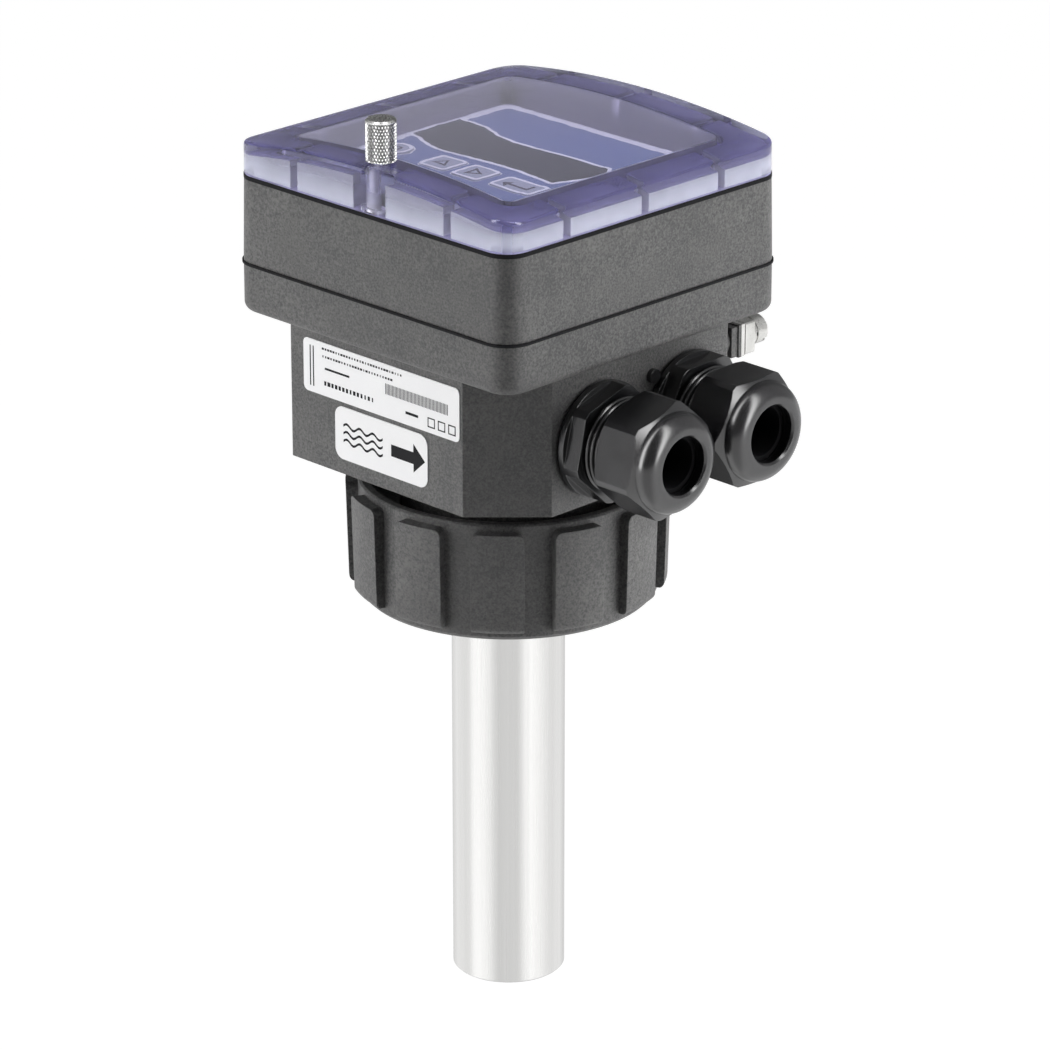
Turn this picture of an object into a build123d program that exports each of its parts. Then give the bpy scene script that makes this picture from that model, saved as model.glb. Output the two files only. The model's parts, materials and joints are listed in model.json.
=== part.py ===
"""Insertion flow meter: a square electronics head on a union nut and a steel finger sensor.

Millimetres, +Z up. The origin is on the finger's axis, level with the union nut's lower face.
The label face looks to -Y, the two cable glands leave along +X and the lid is hinged at +Y.
"""

import os
from math import cos, hypot, radians, sin, sqrt

from build123d import *

# Finger and sensor
finger_radius = 13.5
finger_length = 98.5  # below the union nut's lower face
finger_wall = 1.5
finger_edge = 0.4
weld_step = 0.5  # the finger's end is turned down by this where it is welded into the flange
flange_underside = 12.0
flange_thickness = 4.0
flange_clearance = 2.2  # inside the union nut's thread
spigot_wall = 3.5
spigot_rise = 8.0  # above the housing's floor
seal_width = 3.0
seal_groove_depth = 2.0
seal_proud = 0.5
spigot_seal_height = 2.4
spigot_seal_depth = 1.2
holder_length = 9.0
electrode_radius = 2.0
electrode_offset = 7.5
electrode_proud = 0.4
electrode_length = 12.0
coil_wall_gap = 1.6
coil_length = 30.0
coil_clearance = 2.5
core_radius = 4.0
core_collar = 1.2
core_overhang = 2.0
lead_radius = 2.2
ring_nut_width = 5.5
ring_nut_height = 5.0
ring_nut_slots = 4
ring_nut_slot_width = 4.0

# Union nut
nut_height = 28.7
nut_bore_radius = 29.8  # bottom of the thread
nut_wall = 5.6
nut_edge = 1.0
nut_shoulder_gap = 0.5
nut_shoulder_thickness = 5.0
nut_rim_thickness = 2.2
rib_count = 12
rib_arc = 19.0
rib_first_angle = 11.35
rib_bottom = 2.4
rib_top_inset = 1.6
rib_depth_low = 2.3
rib_depth_high = 2.9
rib_toe_height = 1.4
rib_toe_inset = 1.0
rib_corner = 1.7
running_gap = 0.3

# Display and keys
panel_half_x = 31.0
panel_short = 1.5  # the panel is this much shorter than wide, at its front
panel_rise = 3.1  # above the cover frame
panel_corner = 2.5
panel_wall = 1.5
film_thickness = 0.4
film_inset = 1.2
board_thickness = 1.6
display_board_inset = 2.0
fit_gap = 0.1
lcd_side_inset = 5.0
lcd_half_y = 11.5
lcd_key_gap = 1.2
key_travel = 0.4
key_rise = 0.3
key_gap = 0.2
key_depth = 1.6
key_stem_radius = 1.5
key_row_inset = 14.0
value_key_inset = 8.5
value_key_radius = 4.0
arrow_key_side = 8.6
arrow_key_gap = 2.0
enter_key_inset = 13.4
enter_key_gap = 3.2
enter_key_width = 13.0
enter_key_depth = 7.6
key_corner = 1.2
switch_half = 1.8
switch_clearance = 0.05

# Lid
window_gap = 3.6  # between the panel and the lid's inner wall
window_corner = 3.0
window_wall = 1.6
lid_border = 10.1
lid_corner = 6.2
lid_edge_height = 7.3
lid_arch_rise = 3.7
lid_top = 3.3  # thickness over the pockets
window_top = 2.2  # thickness over the display
lid_wall = 1.8
lid_rim = 0.8
lid_rib_thickness = 2.4
lid_rib_offset = 25.0
lid_boss_radius = 6.0
seal_hole_radius = 0.6
seal_hole_drop = 1.5
seal_hole_offset = 1.0

# Lid hinge
hinge_offset = 24.0
hinge_rise = 0.5  # above the lid's seam
hinge_stand_off = 2.9
knuckle_radius = 2.4
knuckle_width = 4.0
ear_width = 3.6
knuckle_gap = 0.2
hinge_pin_radius = 1.0
hinge_pin_gap = 0.05

# Thumb screw
screw_inset = 4.7  # behind the lid's front face
knob_radius = 3.58
knob_height = 10.0
knob_gap = 0.4
knob_slot_width = 1.0
knob_slot_depth = 1.6
knob_slot_turn = 35.0
knob_edge = 0.4
shank_radius = 2.0
shank_gap = 0.1
shank_reach = 4.3  # below the lid's seam
insert_wall = 0.4
insert_length = 8.0
insert_gap = 0.4
insert_boss_wall = 1.8
clip_width = 1.6
clip_thickness = 0.6
clip_gap = 0.2

# Cover frame, its seals and its screws
lid_step = 0.45  # the head is this much wider than the lid, each side
base_gasket_thickness = 0.6
gasket_proud = 0.35
frame_height = 19.9
frame_draft = 1.2
frame_wall = 3.4
deck_thickness = 3.0
lid_gasket_thickness = 1.0
lid_gasket_width = 1.7
screw_head_radius = 2.9
screw_head_height = 2.4
screw_head_sink = 0.2
screw_cross_width = 0.8
screw_grip = 4.1  # how far the cover screws reach below the frame
screw_clearance = 0.15

# Cable glands, drawn along their own axis from the housing's wall outwards
gland_rise = 15.5
gland_spacing = 1.5
gland_margin = 0.8
gland_shift = 0.4
gland_turns = (12.6, 28.0)
gland_flats = 25.0
gland_flange_radius = 13.9
gland_flange_thickness = 1.5
gland_hex_length = 4.3
gland_thread_radius = 10.0
gland_thread_length = 7.0
gland_hole_gap = 0.1
gland_neck_step = 0.9
gland_neck_length = 11.6
gland_bore_radius = 7.6
gland_seat_wall = 1.2
gland_seat_depth = 8.0
washer_thickness = 0.8
washer_inset = 0.6
dome_gap_length = 4.9  # threaded neck left open to view
dome_length = 15.7
dome_hex_length = 10.5
dome_step = 0.5  # the dome is this much smaller than the hexagon, each side
dome_shoulder = 1.2
dome_edge = 0.8
dome_round = 3.9
dome_opening = 6.87
dome_opening_edge = 0.5
dome_lip = 3.0
dome_gap = 0.1
dome_cone_gap = 0.9
claw_gap = 0.2
claw_wall = 1.5
claw_tip_wall = 0.6
claw_tip_gap = 1.4
claw_slots = 10
claw_slot_width = 1.0
seal_gap = 0.1
seal_bore = 6.0
seal_front_gap = 0.4
seal_edge = 0.8
gland_boss_width = 2.6
gland_boss_depth = 4.0

# Housing base: neck, lower box and tray in one moulding
wall = 3.0
neck_step = 2.6  # the neck is this much smaller than the flange below it
nut_clearance = 4.1  # between the union nut and the box
box_height = 36.3
box_overhang_x = 9.15
box_overhang_front = 9.05
box_overhang_back = 8.25
box_corner = 1.0
tray_height = 11.7
head_corner = 6.5
tray_edge = 2.2
boss_radius = 3.8
boss_inset = 8.15
boss_outer_gap = 1.0
pilot_radius = 1.6

# Electronics in the housing
main_board_inset = 7.15
main_board_boss_gap = 0.7
terminal_depth = 11.0
terminal_width = 10.0
terminal_x = 14.0
terminal_pitch = 5.0
terminal_ways = 8
terminal_hole_radius = 1.3
link_width = 20.0
link_depth = 5.0
link_inset = 11.0
board_screw_radius = 1.25
board_screw_head_radius = 2.4
board_screw_head_height = 1.8
board_screw_depth = 1.8
board_screw_inset = 2.6
board_screw_y = 18.0

# Blind plug in the gland wall
plug_side = 11.8  # before the back gland's axis
plug_rise = 10.6  # above the glands' axes
plug_radius = 1.7
plug_stem_radius = 1.2
plug_proud = 1.3

# Earth terminal on the back wall
earth_inset = 8.0
earth_rise = 24.9  # above the bottom of the box
earth_neck_radius = 3.3
earth_boss_length = 8.6
earth_pad_half = 3.7
earth_pad_thickness = 3.1
earth_rim_thickness = 1.0
earth_plate_half = 4.0
earth_plate_thickness = 1.1
earth_wire_gap = 0.3
earth_gap_inset = 0.6
earth_saddle_thickness = 3.2
earth_washer_radius = 3.9
earth_washer_thickness = 0.8
earth_washer_gap = 0.2
spring_washer_radius = 3.4
spring_washer_thickness = 1.0
spring_washer_gap_width = 0.9
earth_head_radius = 3.55
earth_head_height = 3.6
earth_head_edge = 0.4
earth_shank_radius = 2.0
earth_shank_reach = 7.0
earth_slot_width = 1.0
earth_slot_depth = 1.4
earth_slot_turn = 36.0

# Labels on the front wall
label_thickness = 0.2
rating_label_corner = 1.4
flow_label_corner = 2.6
label_height = 13.0
label_gap = 1.1
label_rise = 3.7
rating_label_inset = 5.1
rating_label_edge_gap = 0.8
flow_label_inset = 15.6
flow_label_width = 30.8

# Places that follow from the sizes above
flange_top = flange_underside + flange_thickness
flange_radius = nut_bore_radius - flange_clearance
finger_neck_radius = finger_radius - weld_step
spigot_radius = finger_radius + spigot_wall
seal_radius_middle = (finger_radius + flange_radius) / 2
neck_radius = flange_radius - neck_step
nut_radius = nut_bore_radius + nut_wall
coil_radius = finger_radius - finger_wall - coil_wall_gap
coil_bottom = -finger_length + electrode_length + coil_clearance

window_half = panel_half_x + window_gap
lid_half = window_half + lid_border
head_half = lid_half + lid_step
panel_half_y = panel_half_x - panel_short
panel_front = panel_short - panel_half_y
boss_spacing = 2 * (head_half - boss_inset)

box_bottom = nut_height + nut_clearance
floor_top = box_bottom + wall
tray_bottom = box_bottom + box_height
tray_floor = tray_bottom + wall
tray_top = tray_bottom + tray_height
frame_bottom = tray_top + base_gasket_thickness
deck_top = frame_bottom + frame_height
deck_bottom = deck_top - deck_thickness
seam = deck_top + lid_gasket_thickness
lid_edge_top = seam + lid_edge_height
lid_crown = lid_edge_top + lid_arch_rise
panel_height = deck_top + panel_rise
film_bottom = panel_height - film_thickness
display_board_top = deck_bottom + board_thickness
screw_y = -lid_half + screw_inset
knob_bottom = lid_crown + knob_gap
insert_radius = shank_radius + insert_gap + insert_wall
hinge_y = lid_half + hinge_stand_off
hinge_z = seam + hinge_rise

gland_flat = 4 * gland_flange_radius + gland_spacing + 2 * gland_margin
box_half_x = head_half - box_overhang_x
box_front = box_overhang_front - head_half
box_back = head_half - box_overhang_back
box_chamfer = box_back - box_front - gland_flat
gland_height = box_bottom + gland_rise
gland_middle_y = box_back - gland_flat / 2 + gland_shift
gland_pitch = 2 * gland_flange_radius + gland_spacing
gland_places = (gland_middle_y - gland_pitch / 2, gland_middle_y + gland_pitch / 2)
gland_neck_radius = gland_thread_radius + gland_neck_step
gland_seat_radius = gland_neck_radius - gland_seat_wall
gland_hex_start = washer_thickness + gland_flange_thickness
gland_hex_end = gland_hex_start + gland_hex_length
gland_neck_end = gland_hex_end + gland_neck_length
gland_seat = gland_neck_end - gland_seat_depth
dome_start = gland_hex_end + dome_gap_length
dome_end = dome_start + dome_length
dome_cone = gland_neck_end + dome_cone_gap
dome_lip_start = dome_end - dome_lip
claw_radius = gland_seat_radius - claw_gap
claw_bore = claw_radius - claw_wall
seal_radius = claw_bore - seal_gap

key_row_y = panel_front + key_row_inset
value_key_x = value_key_inset - panel_half_x
enter_key_x = panel_half_x - enter_key_inset
right_key_x = enter_key_x - enter_key_width / 2 - enter_key_gap - arrow_key_side / 2
up_key_x = right_key_x - arrow_key_side - arrow_key_gap
lcd_front = key_row_y + arrow_key_side / 2 + lcd_key_gap
lcd_back = lcd_front + 2 * lcd_half_y
lcd_half_x = panel_half_x - lcd_side_inset
key_stem_bottom = panel_height - key_depth - panel_wall

spigot_seal_top = (flange_top + floor_top + spigot_seal_height) / 2
link_x = link_inset - panel_half_x
board_bottom = tray_floor
board_top = board_bottom + board_thickness
main_board_half_x = head_half - main_board_inset
main_board_half_y = boss_spacing / 2 - boss_radius - main_board_boss_gap
board_screw_x = main_board_half_x - board_screw_inset

plug_y = gland_places[1] - plug_side
plug_z = gland_height + plug_rise
earth_x = box_half_x - earth_inset
earth_z = box_bottom + earth_rise
earth_clamp_thickness = earth_plate_thickness + earth_wire_gap + earth_saddle_thickness
earth_stack = earth_boss_length + earth_clamp_thickness
flow_label_bottom = box_bottom + label_rise
rating_label_bottom = flow_label_bottom + label_height + label_gap
rating_label_left = rating_label_inset - box_half_x
rating_label_right = box_half_x - box_chamfer - rating_label_edge_gap
flow_label_left = flow_label_inset - box_half_x


def slab(x0, x1, y0, y1, z0, z1):
    """A rectangular block between two corners."""
    return Pos((x0 + x1) / 2, (y0 + y1) / 2, (z0 + z1) / 2) * Box(x1 - x0, y1 - y0, z1 - z0)


def rod(radius, z0, z1, x=0.0, y=0.0):
    """An upright cylinder."""
    return Pos(x, y, (z0 + z1) / 2) * Cylinder(radius, z1 - z0)


def tube(outer, inner, z0, z1, x=0.0, y=0.0):
    """An upright ring."""
    return rod(outer, z0, z1, x, y) - rod(inner, z0, z1, x, y)


def rounded(half_x, half_y, corner, z0, z1, y=0.0, taper=0.0):
    """An upright block with round vertical corners and, if asked, drafted sides."""
    outline = Pos(0, y, z0) * RectangleRounded(2 * half_x, 2 * half_y, corner)
    return extrude(outline, z1 - z0, taper=taper)


def turned(points):
    """A solid of revolution about Z from radius and height points."""
    outline = make_face(Polyline(*points, close=True))
    return revolve(Plane.XZ * outline, Axis.Z)


def hexagon(flats, turn, z0, z1):
    """A hexagonal prism with one flat facing the given angle about Z."""
    outline = RegularPolygon(flats / 2, 6, major_radius=False, rotation=turn + 30)
    return extrude(Pos(0, 0, z0) * outline, z1 - z0)


def corners(spacing_x, spacing_y):
    """The four corner points of a centred rectangle."""
    return [(i * spacing_x / 2, j * spacing_y / 2) for i in (-1, 1) for j in (-1, 1)]


# Sensor
def make_sensor_tube():
    shell = turned([
        (finger_radius - finger_wall, -finger_length),
        (finger_radius - finger_edge, -finger_length),
        (finger_radius, -finger_length + finger_edge),
        (finger_radius, flange_underside),
        (finger_neck_radius, flange_underside),
        (finger_neck_radius, floor_top + spigot_rise),
        (finger_radius - finger_wall, floor_top + spigot_rise),
    ])
    return shell


def seal_groove(top, depth, outer, inner):
    """The ring-shaped space of a square groove whose upper face is given."""
    return tube(outer, inner, top - depth, top)


def make_sensor_flange():
    spigot_top = floor_top + spigot_rise
    body = rod(flange_radius, flange_underside, flange_top)
    body += rod(spigot_radius, flange_top, spigot_top)
    body -= rod(finger_neck_radius, flange_underside, spigot_top)
    groove_top = flange_underside + seal_groove_depth
    body -= seal_groove(groove_top, seal_groove_depth, seal_radius_middle + seal_width / 2,
                        seal_radius_middle - seal_width / 2)
    body -= seal_groove(spigot_seal_top, spigot_seal_height, spigot_radius + 1,
                        spigot_radius - spigot_seal_depth)
    return body


def make_flange_seal():
    top = flange_underside + seal_groove_depth
    low = flange_underside - seal_proud
    edge = seal_proud
    half = seal_width / 2
    return turned([
        (seal_radius_middle - half, top), (seal_radius_middle + half, top),
        (seal_radius_middle + half, low + edge), (seal_radius_middle + half - edge, low),
        (seal_radius_middle - half + edge, low), (seal_radius_middle - half, low + edge),
    ])


def make_spigot_seal():
    return tube(spigot_radius, spigot_radius - spigot_seal_depth,
                spigot_seal_top - spigot_seal_height, spigot_seal_top)


def make_ring_nut():
    z0 = floor_top
    z1 = z0 + ring_nut_height
    outer = spigot_radius + ring_nut_width
    body = tube(outer, spigot_radius, z0, z1)
    for k in range(ring_nut_slots):
        notch = Pos(outer, 0, z1) * Box(ring_nut_slot_width, ring_nut_slot_width, ring_nut_height)
        body -= Rot(0, 0, 45 + 360 * k / ring_nut_slots) * notch
    return body


def make_electrode_holder():
    body = rod(finger_radius - finger_wall, -finger_length, -finger_length + holder_length)
    for side in (-1, 1):
        body -= rod(electrode_radius, -finger_length, 0, y=side * electrode_offset)
    return body


def make_electrode(side):
    y = side * electrode_offset
    pin = rod(electrode_radius, -finger_length, -finger_length + electrode_length, y=y)
    cap_radius = (electrode_radius ** 2 + electrode_proud ** 2) / (2 * electrode_proud)
    dome = Pos(0, y, -finger_length - electrode_proud + cap_radius) * Sphere(cap_radius)
    below = rod(electrode_radius, -finger_length - electrode_proud, -finger_length, y=y)
    return pin + (dome & below)


def make_field_coil():
    return tube(coil_radius, core_radius, coil_bottom, coil_bottom + coil_length)


def make_coil_core():
    foot = -finger_length + holder_length
    core = rod(core_radius, foot, coil_bottom + coil_length + core_overhang)
    collar = tube(core_radius + core_collar, core_radius, foot, coil_bottom)
    return core + collar


def make_sensor_leads():
    return rod(lead_radius, coil_bottom + coil_length + core_overhang, board_bottom)


# Union nut
def make_grip_rib():
    low = nut_radius + rib_depth_low
    high = nut_radius + rib_depth_high
    root = nut_radius - nut_rim_thickness / 2
    toe = rib_bottom + rib_toe_height
    rib_top = nut_height - rib_top_inset
    profile = make_face(
        Polyline((low - rib_toe_inset, rib_bottom), (root, rib_bottom), (root, rib_top),
                 (high, rib_top), (low, toe))
        + ThreePointArc((low, toe),
                        (low - 0.26 * rib_toe_inset, rib_bottom + 0.45 * rib_toe_height),
                        (low - rib_toe_inset, rib_bottom))
    )
    rib = Rot(0, 0, -rib_arc / 2) * revolve(Plane.XZ * profile, Axis.Z, revolution_arc=rib_arc)
    middle = (low + root) / 2
    top_ends = [
        e for e in rib.edges().filter_by(GeomType.LINE)
        if abs(e.center().Z - rib_top) < 0.01 and abs(hypot(e.center().X, e.center().Y) - middle) < 2
    ]
    return fillet(top_ends, rib_corner)


def make_union_nut():
    shoulder = flange_top + running_gap
    shoulder_top = shoulder + nut_shoulder_thickness
    rim = nut_radius - nut_rim_thickness
    body = turned([
        (nut_bore_radius + nut_edge, 0),
        (nut_radius - nut_edge, 0),
        (nut_radius, nut_edge),
        (nut_radius, nut_height - nut_edge / 2),
        (nut_radius - nut_edge / 2, nut_height),
        (rim, nut_height),
        (rim, shoulder_top + nut_edge),
        (rim - nut_edge, shoulder_top),
        (neck_radius + nut_shoulder_gap, shoulder_top),
        (neck_radius + nut_shoulder_gap, shoulder),
        (nut_bore_radius, shoulder),
        (nut_bore_radius, nut_edge),
    ])
    rib = make_grip_rib()
    for k in range(rib_count):
        body += Rot(0, 0, rib_first_angle + 360 * k / rib_count) * rib
    return body


# Housing base
def box_outline(inset):
    """Plan of the lower box, drawn in by a wall's thickness."""
    x0 = -box_half_x + inset
    x1 = box_half_x - inset
    y0 = box_front + inset
    y1 = box_back - inset
    cut = box_chamfer - inset * (2 - sqrt(2))
    return make_face(
        Polyline((x0, y0), (x1 - cut, y0), (x1, y0 + cut), (x1, y1), (x0, y1), close=True)
    )


def along_x(y, z):
    """The frame of a piece whose own +Z points out of the gland wall."""
    return Pos(box_half_x, y, z) * Rot(0, 90, 0)


def along_y(x, z):
    """The frame of a piece whose own +Z points out of the back wall."""
    return Pos(x, box_back, z) * Rot(-90, 0, 0)


def boss_limit(z0, z1):
    """The room that a corner boss may fill without showing outside."""
    half = head_half - boss_outer_gap
    return rounded(half, half, head_corner - boss_outer_gap, z0, z1)


def make_earth_boss():
    """The moulded pillar under the earth clamp, about its own Z."""
    pad_start = earth_boss_length - earth_pad_thickness
    rim_start = earth_boss_length - earth_rim_thickness
    boss = rod(earth_neck_radius, -wall / 2, pad_start)
    boss += slab(-earth_pad_half, earth_pad_half, -earth_pad_half, earth_pad_half,
                 pad_start, rim_start)
    return boss + slab(-earth_plate_half, earth_plate_half, -earth_plate_half, earth_plate_half,
                       rim_start, earth_boss_length)


def make_housing_base():
    outer = extrude(Pos(0, 0, box_bottom) * box_outline(0), tray_floor - box_bottom)
    uprights = [
        e for e in outer.edges().filter_by(Axis.Z)
        if e.center().X < 0 or e.center().Y > 0
    ]
    outer = fillet(uprights, box_corner)
    tray = rounded(head_half, head_half, head_corner, tray_bottom, tray_top)
    tray = fillet(tray.faces().sort_by(Axis.Z)[0].edges(), tray_edge)
    body = outer + tray + rod(neck_radius, flange_top, floor_top)
    body -= extrude(Pos(0, 0, floor_top) * box_outline(wall), tray_top - floor_top)
    inner_half = head_half - wall
    body -= rounded(inner_half, inner_half, head_corner - wall, tray_floor, tray_top)
    for x, y in corners(boss_spacing, boss_spacing):
        boss = rod(boss_radius, tray_bottom + tray_edge, tray_top, x, y)
        body += boss & boss_limit(tray_bottom, tray_top)
    for x, y in corners(boss_spacing, boss_spacing):
        body -= rod(pilot_radius, tray_floor - wall / 2, tray_top, x, y)
    for x, y in corners(2 * board_screw_x, 2 * board_screw_y):
        body -= rod(board_screw_radius, tray_floor - board_screw_depth, tray_floor, x, y)
    for y in gland_places:
        pad = along_x(y, gland_height) * rod(
            gland_thread_radius + gland_boss_width, -wall - gland_boss_depth, -wall)
        body += pad & extrude(Pos(0, 0, floor_top - wall / 2) * box_outline(wall / 2), box_height)
    for y in gland_places:
        hole = rod(gland_thread_radius + gland_hole_gap, -wall - gland_boss_depth, 1)
        body -= along_x(y, gland_height) * hole
    body -= along_x(plug_y, plug_z) * rod(plug_stem_radius, -wall, 1)
    body += along_y(earth_x, earth_z) * make_earth_boss()
    shank_hole = rod(earth_shank_radius, earth_boss_length - earth_shank_reach, earth_boss_length)
    body -= along_y(earth_x, earth_z) * shank_hole
    return body - rod(spigot_radius, flange_top, floor_top)


# Seals between the mouldings
def ring_gasket(half, corner, width, z0, z1):
    outer = rounded(half, half, corner, z0, z1)
    return outer - rounded(half - width, half - width, corner - width, z0, z1)


def make_base_gasket():
    return ring_gasket(head_half + gasket_proud, head_corner + gasket_proud,
                       wall + gasket_proud, tray_top, frame_bottom)


def make_lid_gasket():
    return ring_gasket(lid_half + gasket_proud / 3, lid_corner, lid_gasket_width, deck_top, seam)


# Cover frame
def hinge_ear(x0, x1):
    barrel = Pos((x0 + x1) / 2, hinge_y, hinge_z) * Rot(0, 90, 0) * Cylinder(knuckle_radius, x1 - x0)
    root_low = deck_bottom - 2 * knuckle_radius
    inside = lid_half - lid_wall / 2
    root = Plane.YZ * make_face(Polyline(
        (inside, root_low),
        (lid_half, root_low),
        (hinge_y + knuckle_radius, hinge_z - knuckle_radius),
        (hinge_y + knuckle_radius, hinge_z),
        (hinge_y, hinge_z),
        (lid_half + knuckle_gap, deck_top),
        (inside, deck_top),
        close=True,
    ))
    return barrel + Pos(x0, 0, 0) * extrude(root, x1 - x0)


def ear_spans():
    """The x ranges of the four ears that carry the two hinge pins."""
    reach = knuckle_width / 2 + knuckle_gap
    spans = []
    for middle in (-hinge_offset, hinge_offset):
        spans.append((middle - reach - ear_width, middle - reach))
        spans.append((middle + reach, middle + reach + ear_width))
    return spans


def hinge_axis_rod(radius, x0, x1):
    return Pos((x0 + x1) / 2, hinge_y, hinge_z) * Rot(0, 90, 0) * Cylinder(radius, x1 - x0)


def make_cover_frame():
    body = rounded(head_half, head_half, head_corner, frame_bottom, deck_top, taper=frame_draft)
    hollow_half = head_half - frame_wall
    body -= rounded(hollow_half, hollow_half, head_corner - wall, frame_bottom, deck_bottom)
    body -= rounded(panel_half_x - display_board_inset, panel_half_y - display_board_inset,
                    panel_corner, deck_bottom, deck_top, y=panel_short)
    for x, y in corners(boss_spacing, boss_spacing):
        column = rod(boss_radius, frame_bottom, deck_bottom, x, y)
        body += column & boss_limit(frame_bottom, deck_bottom)
    insert_boss = rod(insert_radius + insert_boss_wall, deck_top - insert_length - 1, deck_bottom,
                      y=screw_y)
    body += insert_boss & boss_limit(frame_bottom, deck_bottom)
    body -= rod(insert_radius, deck_top - insert_length, deck_top, y=screw_y)
    for x, y in corners(boss_spacing, boss_spacing):
        body -= rod(screw_head_radius + screw_clearance, deck_top - screw_head_height, deck_top, x, y)
        body -= rod(pilot_radius + screw_clearance, frame_bottom, deck_top, x, y)
    for x0, x1 in ear_spans():
        body += hinge_ear(x0, x1)
    for x0, x1 in ear_spans():
        body -= hinge_axis_rod(hinge_pin_radius, x0, x1)
    return body


def make_cover_screws():
    screws = []
    for x, y in corners(boss_spacing, boss_spacing):
        head_low = deck_top - screw_head_height
        head = rod(screw_head_radius, head_low, deck_top - screw_head_sink, x, y)
        arm = Box(1.1 * screw_head_radius, screw_cross_width, screw_head_height)
        cross = Pos(x, y, deck_top) * (arm + Rot(0, 0, 90) * arm)
        shank = rod(pilot_radius - screw_clearance / 3, frame_bottom - screw_grip, head_low, x, y)
        screws.append(head + shank - cross)
    return Compound(children=screws)


def make_screw_insert():
    return tube(insert_radius, shank_radius + insert_gap, deck_top - insert_length, deck_top,
                y=screw_y)


def make_hinge_pin(side):
    reach = knuckle_width / 2 + knuckle_gap + ear_width
    middle = side * hinge_offset
    return hinge_axis_rod(hinge_pin_radius, middle - reach, middle + reach)


# Lid
def arch(depth):
    """Everything under the lid's arched top, lowered by the given depth."""
    low = seam - 1
    edge = (lid_half, lid_edge_top - depth)
    profile = make_face(
        Polyline(edge, (lid_half, low), (-lid_half, low), (-lid_half, lid_edge_top - depth))
        + ThreePointArc((-lid_half, lid_edge_top - depth), (0, lid_crown - depth), edge)
    )
    return Pos(0, lid_half + 1, 0) * extrude(Plane.XZ * profile, 2 * lid_half + 2)


def make_lid():
    high = lid_crown + 1
    body = rounded(lid_half, lid_half, lid_corner, seam, high) & arch(0)
    top_edges = [e for e in body.edges() if e.center().Z > lid_edge_top - 1.5
                 and not (abs(e.tangent_at(0.5).Z) > 0.9)]
    body = fillet(top_edges, lid_rim)
    body -= rounded(window_half, window_half, window_corner, seam, high) & arch(window_top)
    pocket_outer = lid_half - lid_wall
    pocket_inner = window_half + window_wall
    pocket = rounded(pocket_outer, pocket_outer, lid_corner - lid_wall, seam, high)
    pocket -= rounded(pocket_inner, pocket_inner, window_corner + window_wall, seam, high)
    for offset in (-lid_rib_offset, 0, lid_rib_offset):
        half = lid_rib_thickness / 2
        pocket -= slab(offset - half, offset + half, -lid_half, lid_half, seam, high)
        pocket -= slab(-lid_half, lid_half, offset - half, offset + half, seam, high)
    pocket -= rod(lid_boss_radius, seam, high, y=screw_y)
    body -= pocket & arch(lid_top)
    body -= rod(shank_radius + shank_gap, seam, high, y=screw_y)
    seal_hole = Cylinder(seal_hole_radius, 2 * screw_inset)
    body -= Pos(-seal_hole_offset, -lid_half, lid_crown - seal_hole_drop) * Rot(90, 0, 0) * seal_hole
    clip_radius = shank_radius + clip_width
    body -= rod(clip_radius + clip_gap, seam, seam + clip_thickness + 2 * clip_gap, y=screw_y)
    for middle in (-hinge_offset, hinge_offset):
        x0 = middle - knuckle_width / 2
        x1 = middle + knuckle_width / 2
        arm = slab(x0, x1, lid_half - lid_wall / 2, hinge_y, hinge_z + knuckle_gap,
                   hinge_z + knuckle_radius)
        body += arm + hinge_axis_rod(knuckle_radius, x0, x1)
        body -= hinge_axis_rod(hinge_pin_radius + hinge_pin_gap, x0, x1)
    return body


def make_thumb_screw():
    top = knob_bottom + knob_height
    groove_low = seam + clip_gap
    groove_high = groove_low + clip_thickness
    body = turned([
        (0, seam - shank_reach),
        (shank_radius - knob_edge, seam - shank_reach),
        (shank_radius, seam - shank_reach + knob_edge),
        (shank_radius, groove_low),
        (shank_radius - knob_edge, groove_low),
        (shank_radius - knob_edge, groove_high),
        (shank_radius, groove_high),
        (shank_radius, knob_bottom),
        (knob_radius - knob_edge, knob_bottom),
        (knob_radius, knob_bottom + knob_edge),
        (knob_radius, top - knob_edge),
        (knob_radius - knob_edge, top),
        (0, top),
    ])
    slot = Pos(0, 0, top) * Box(3 * knob_radius, knob_slot_width, 2 * knob_slot_depth)
    return Pos(0, screw_y, 0) * (body - Rot(0, 0, knob_slot_turn) * slot)


def make_thumb_screw_clip():
    low = seam + clip_gap
    clip_radius = shank_radius + clip_width
    half_mouth = 0.7 * shank_radius
    clip = tube(clip_radius, shank_radius - knob_edge, low, low + clip_thickness)
    mouth = slab(0, 2 * clip_radius, -half_mouth, half_mouth, low, low + clip_thickness)
    return Pos(0, screw_y, 0) * (clip - mouth)


# Display and keys
def key_outlines():
    """Plan of each key, by name."""
    side = arrow_key_side
    value_key = Pos(value_key_x, key_row_y) * Circle(value_key_radius)
    up_key = Pos(up_key_x, key_row_y) * RectangleRounded(side, side, key_corner)
    right_key = Pos(right_key_x, key_row_y) * RectangleRounded(side, side, key_corner)
    enter_key = Pos(enter_key_x, key_row_y) * RectangleRounded(
        enter_key_width, enter_key_depth, key_corner)
    return {"key_value": value_key, "key_up": up_key, "key_right": right_key,
            "key_enter": enter_key}


def key_hole(outline, z0, z1):
    return extrude(Pos(0, 0, z0) * offset(outline, key_gap), z1 - z0)


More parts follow.
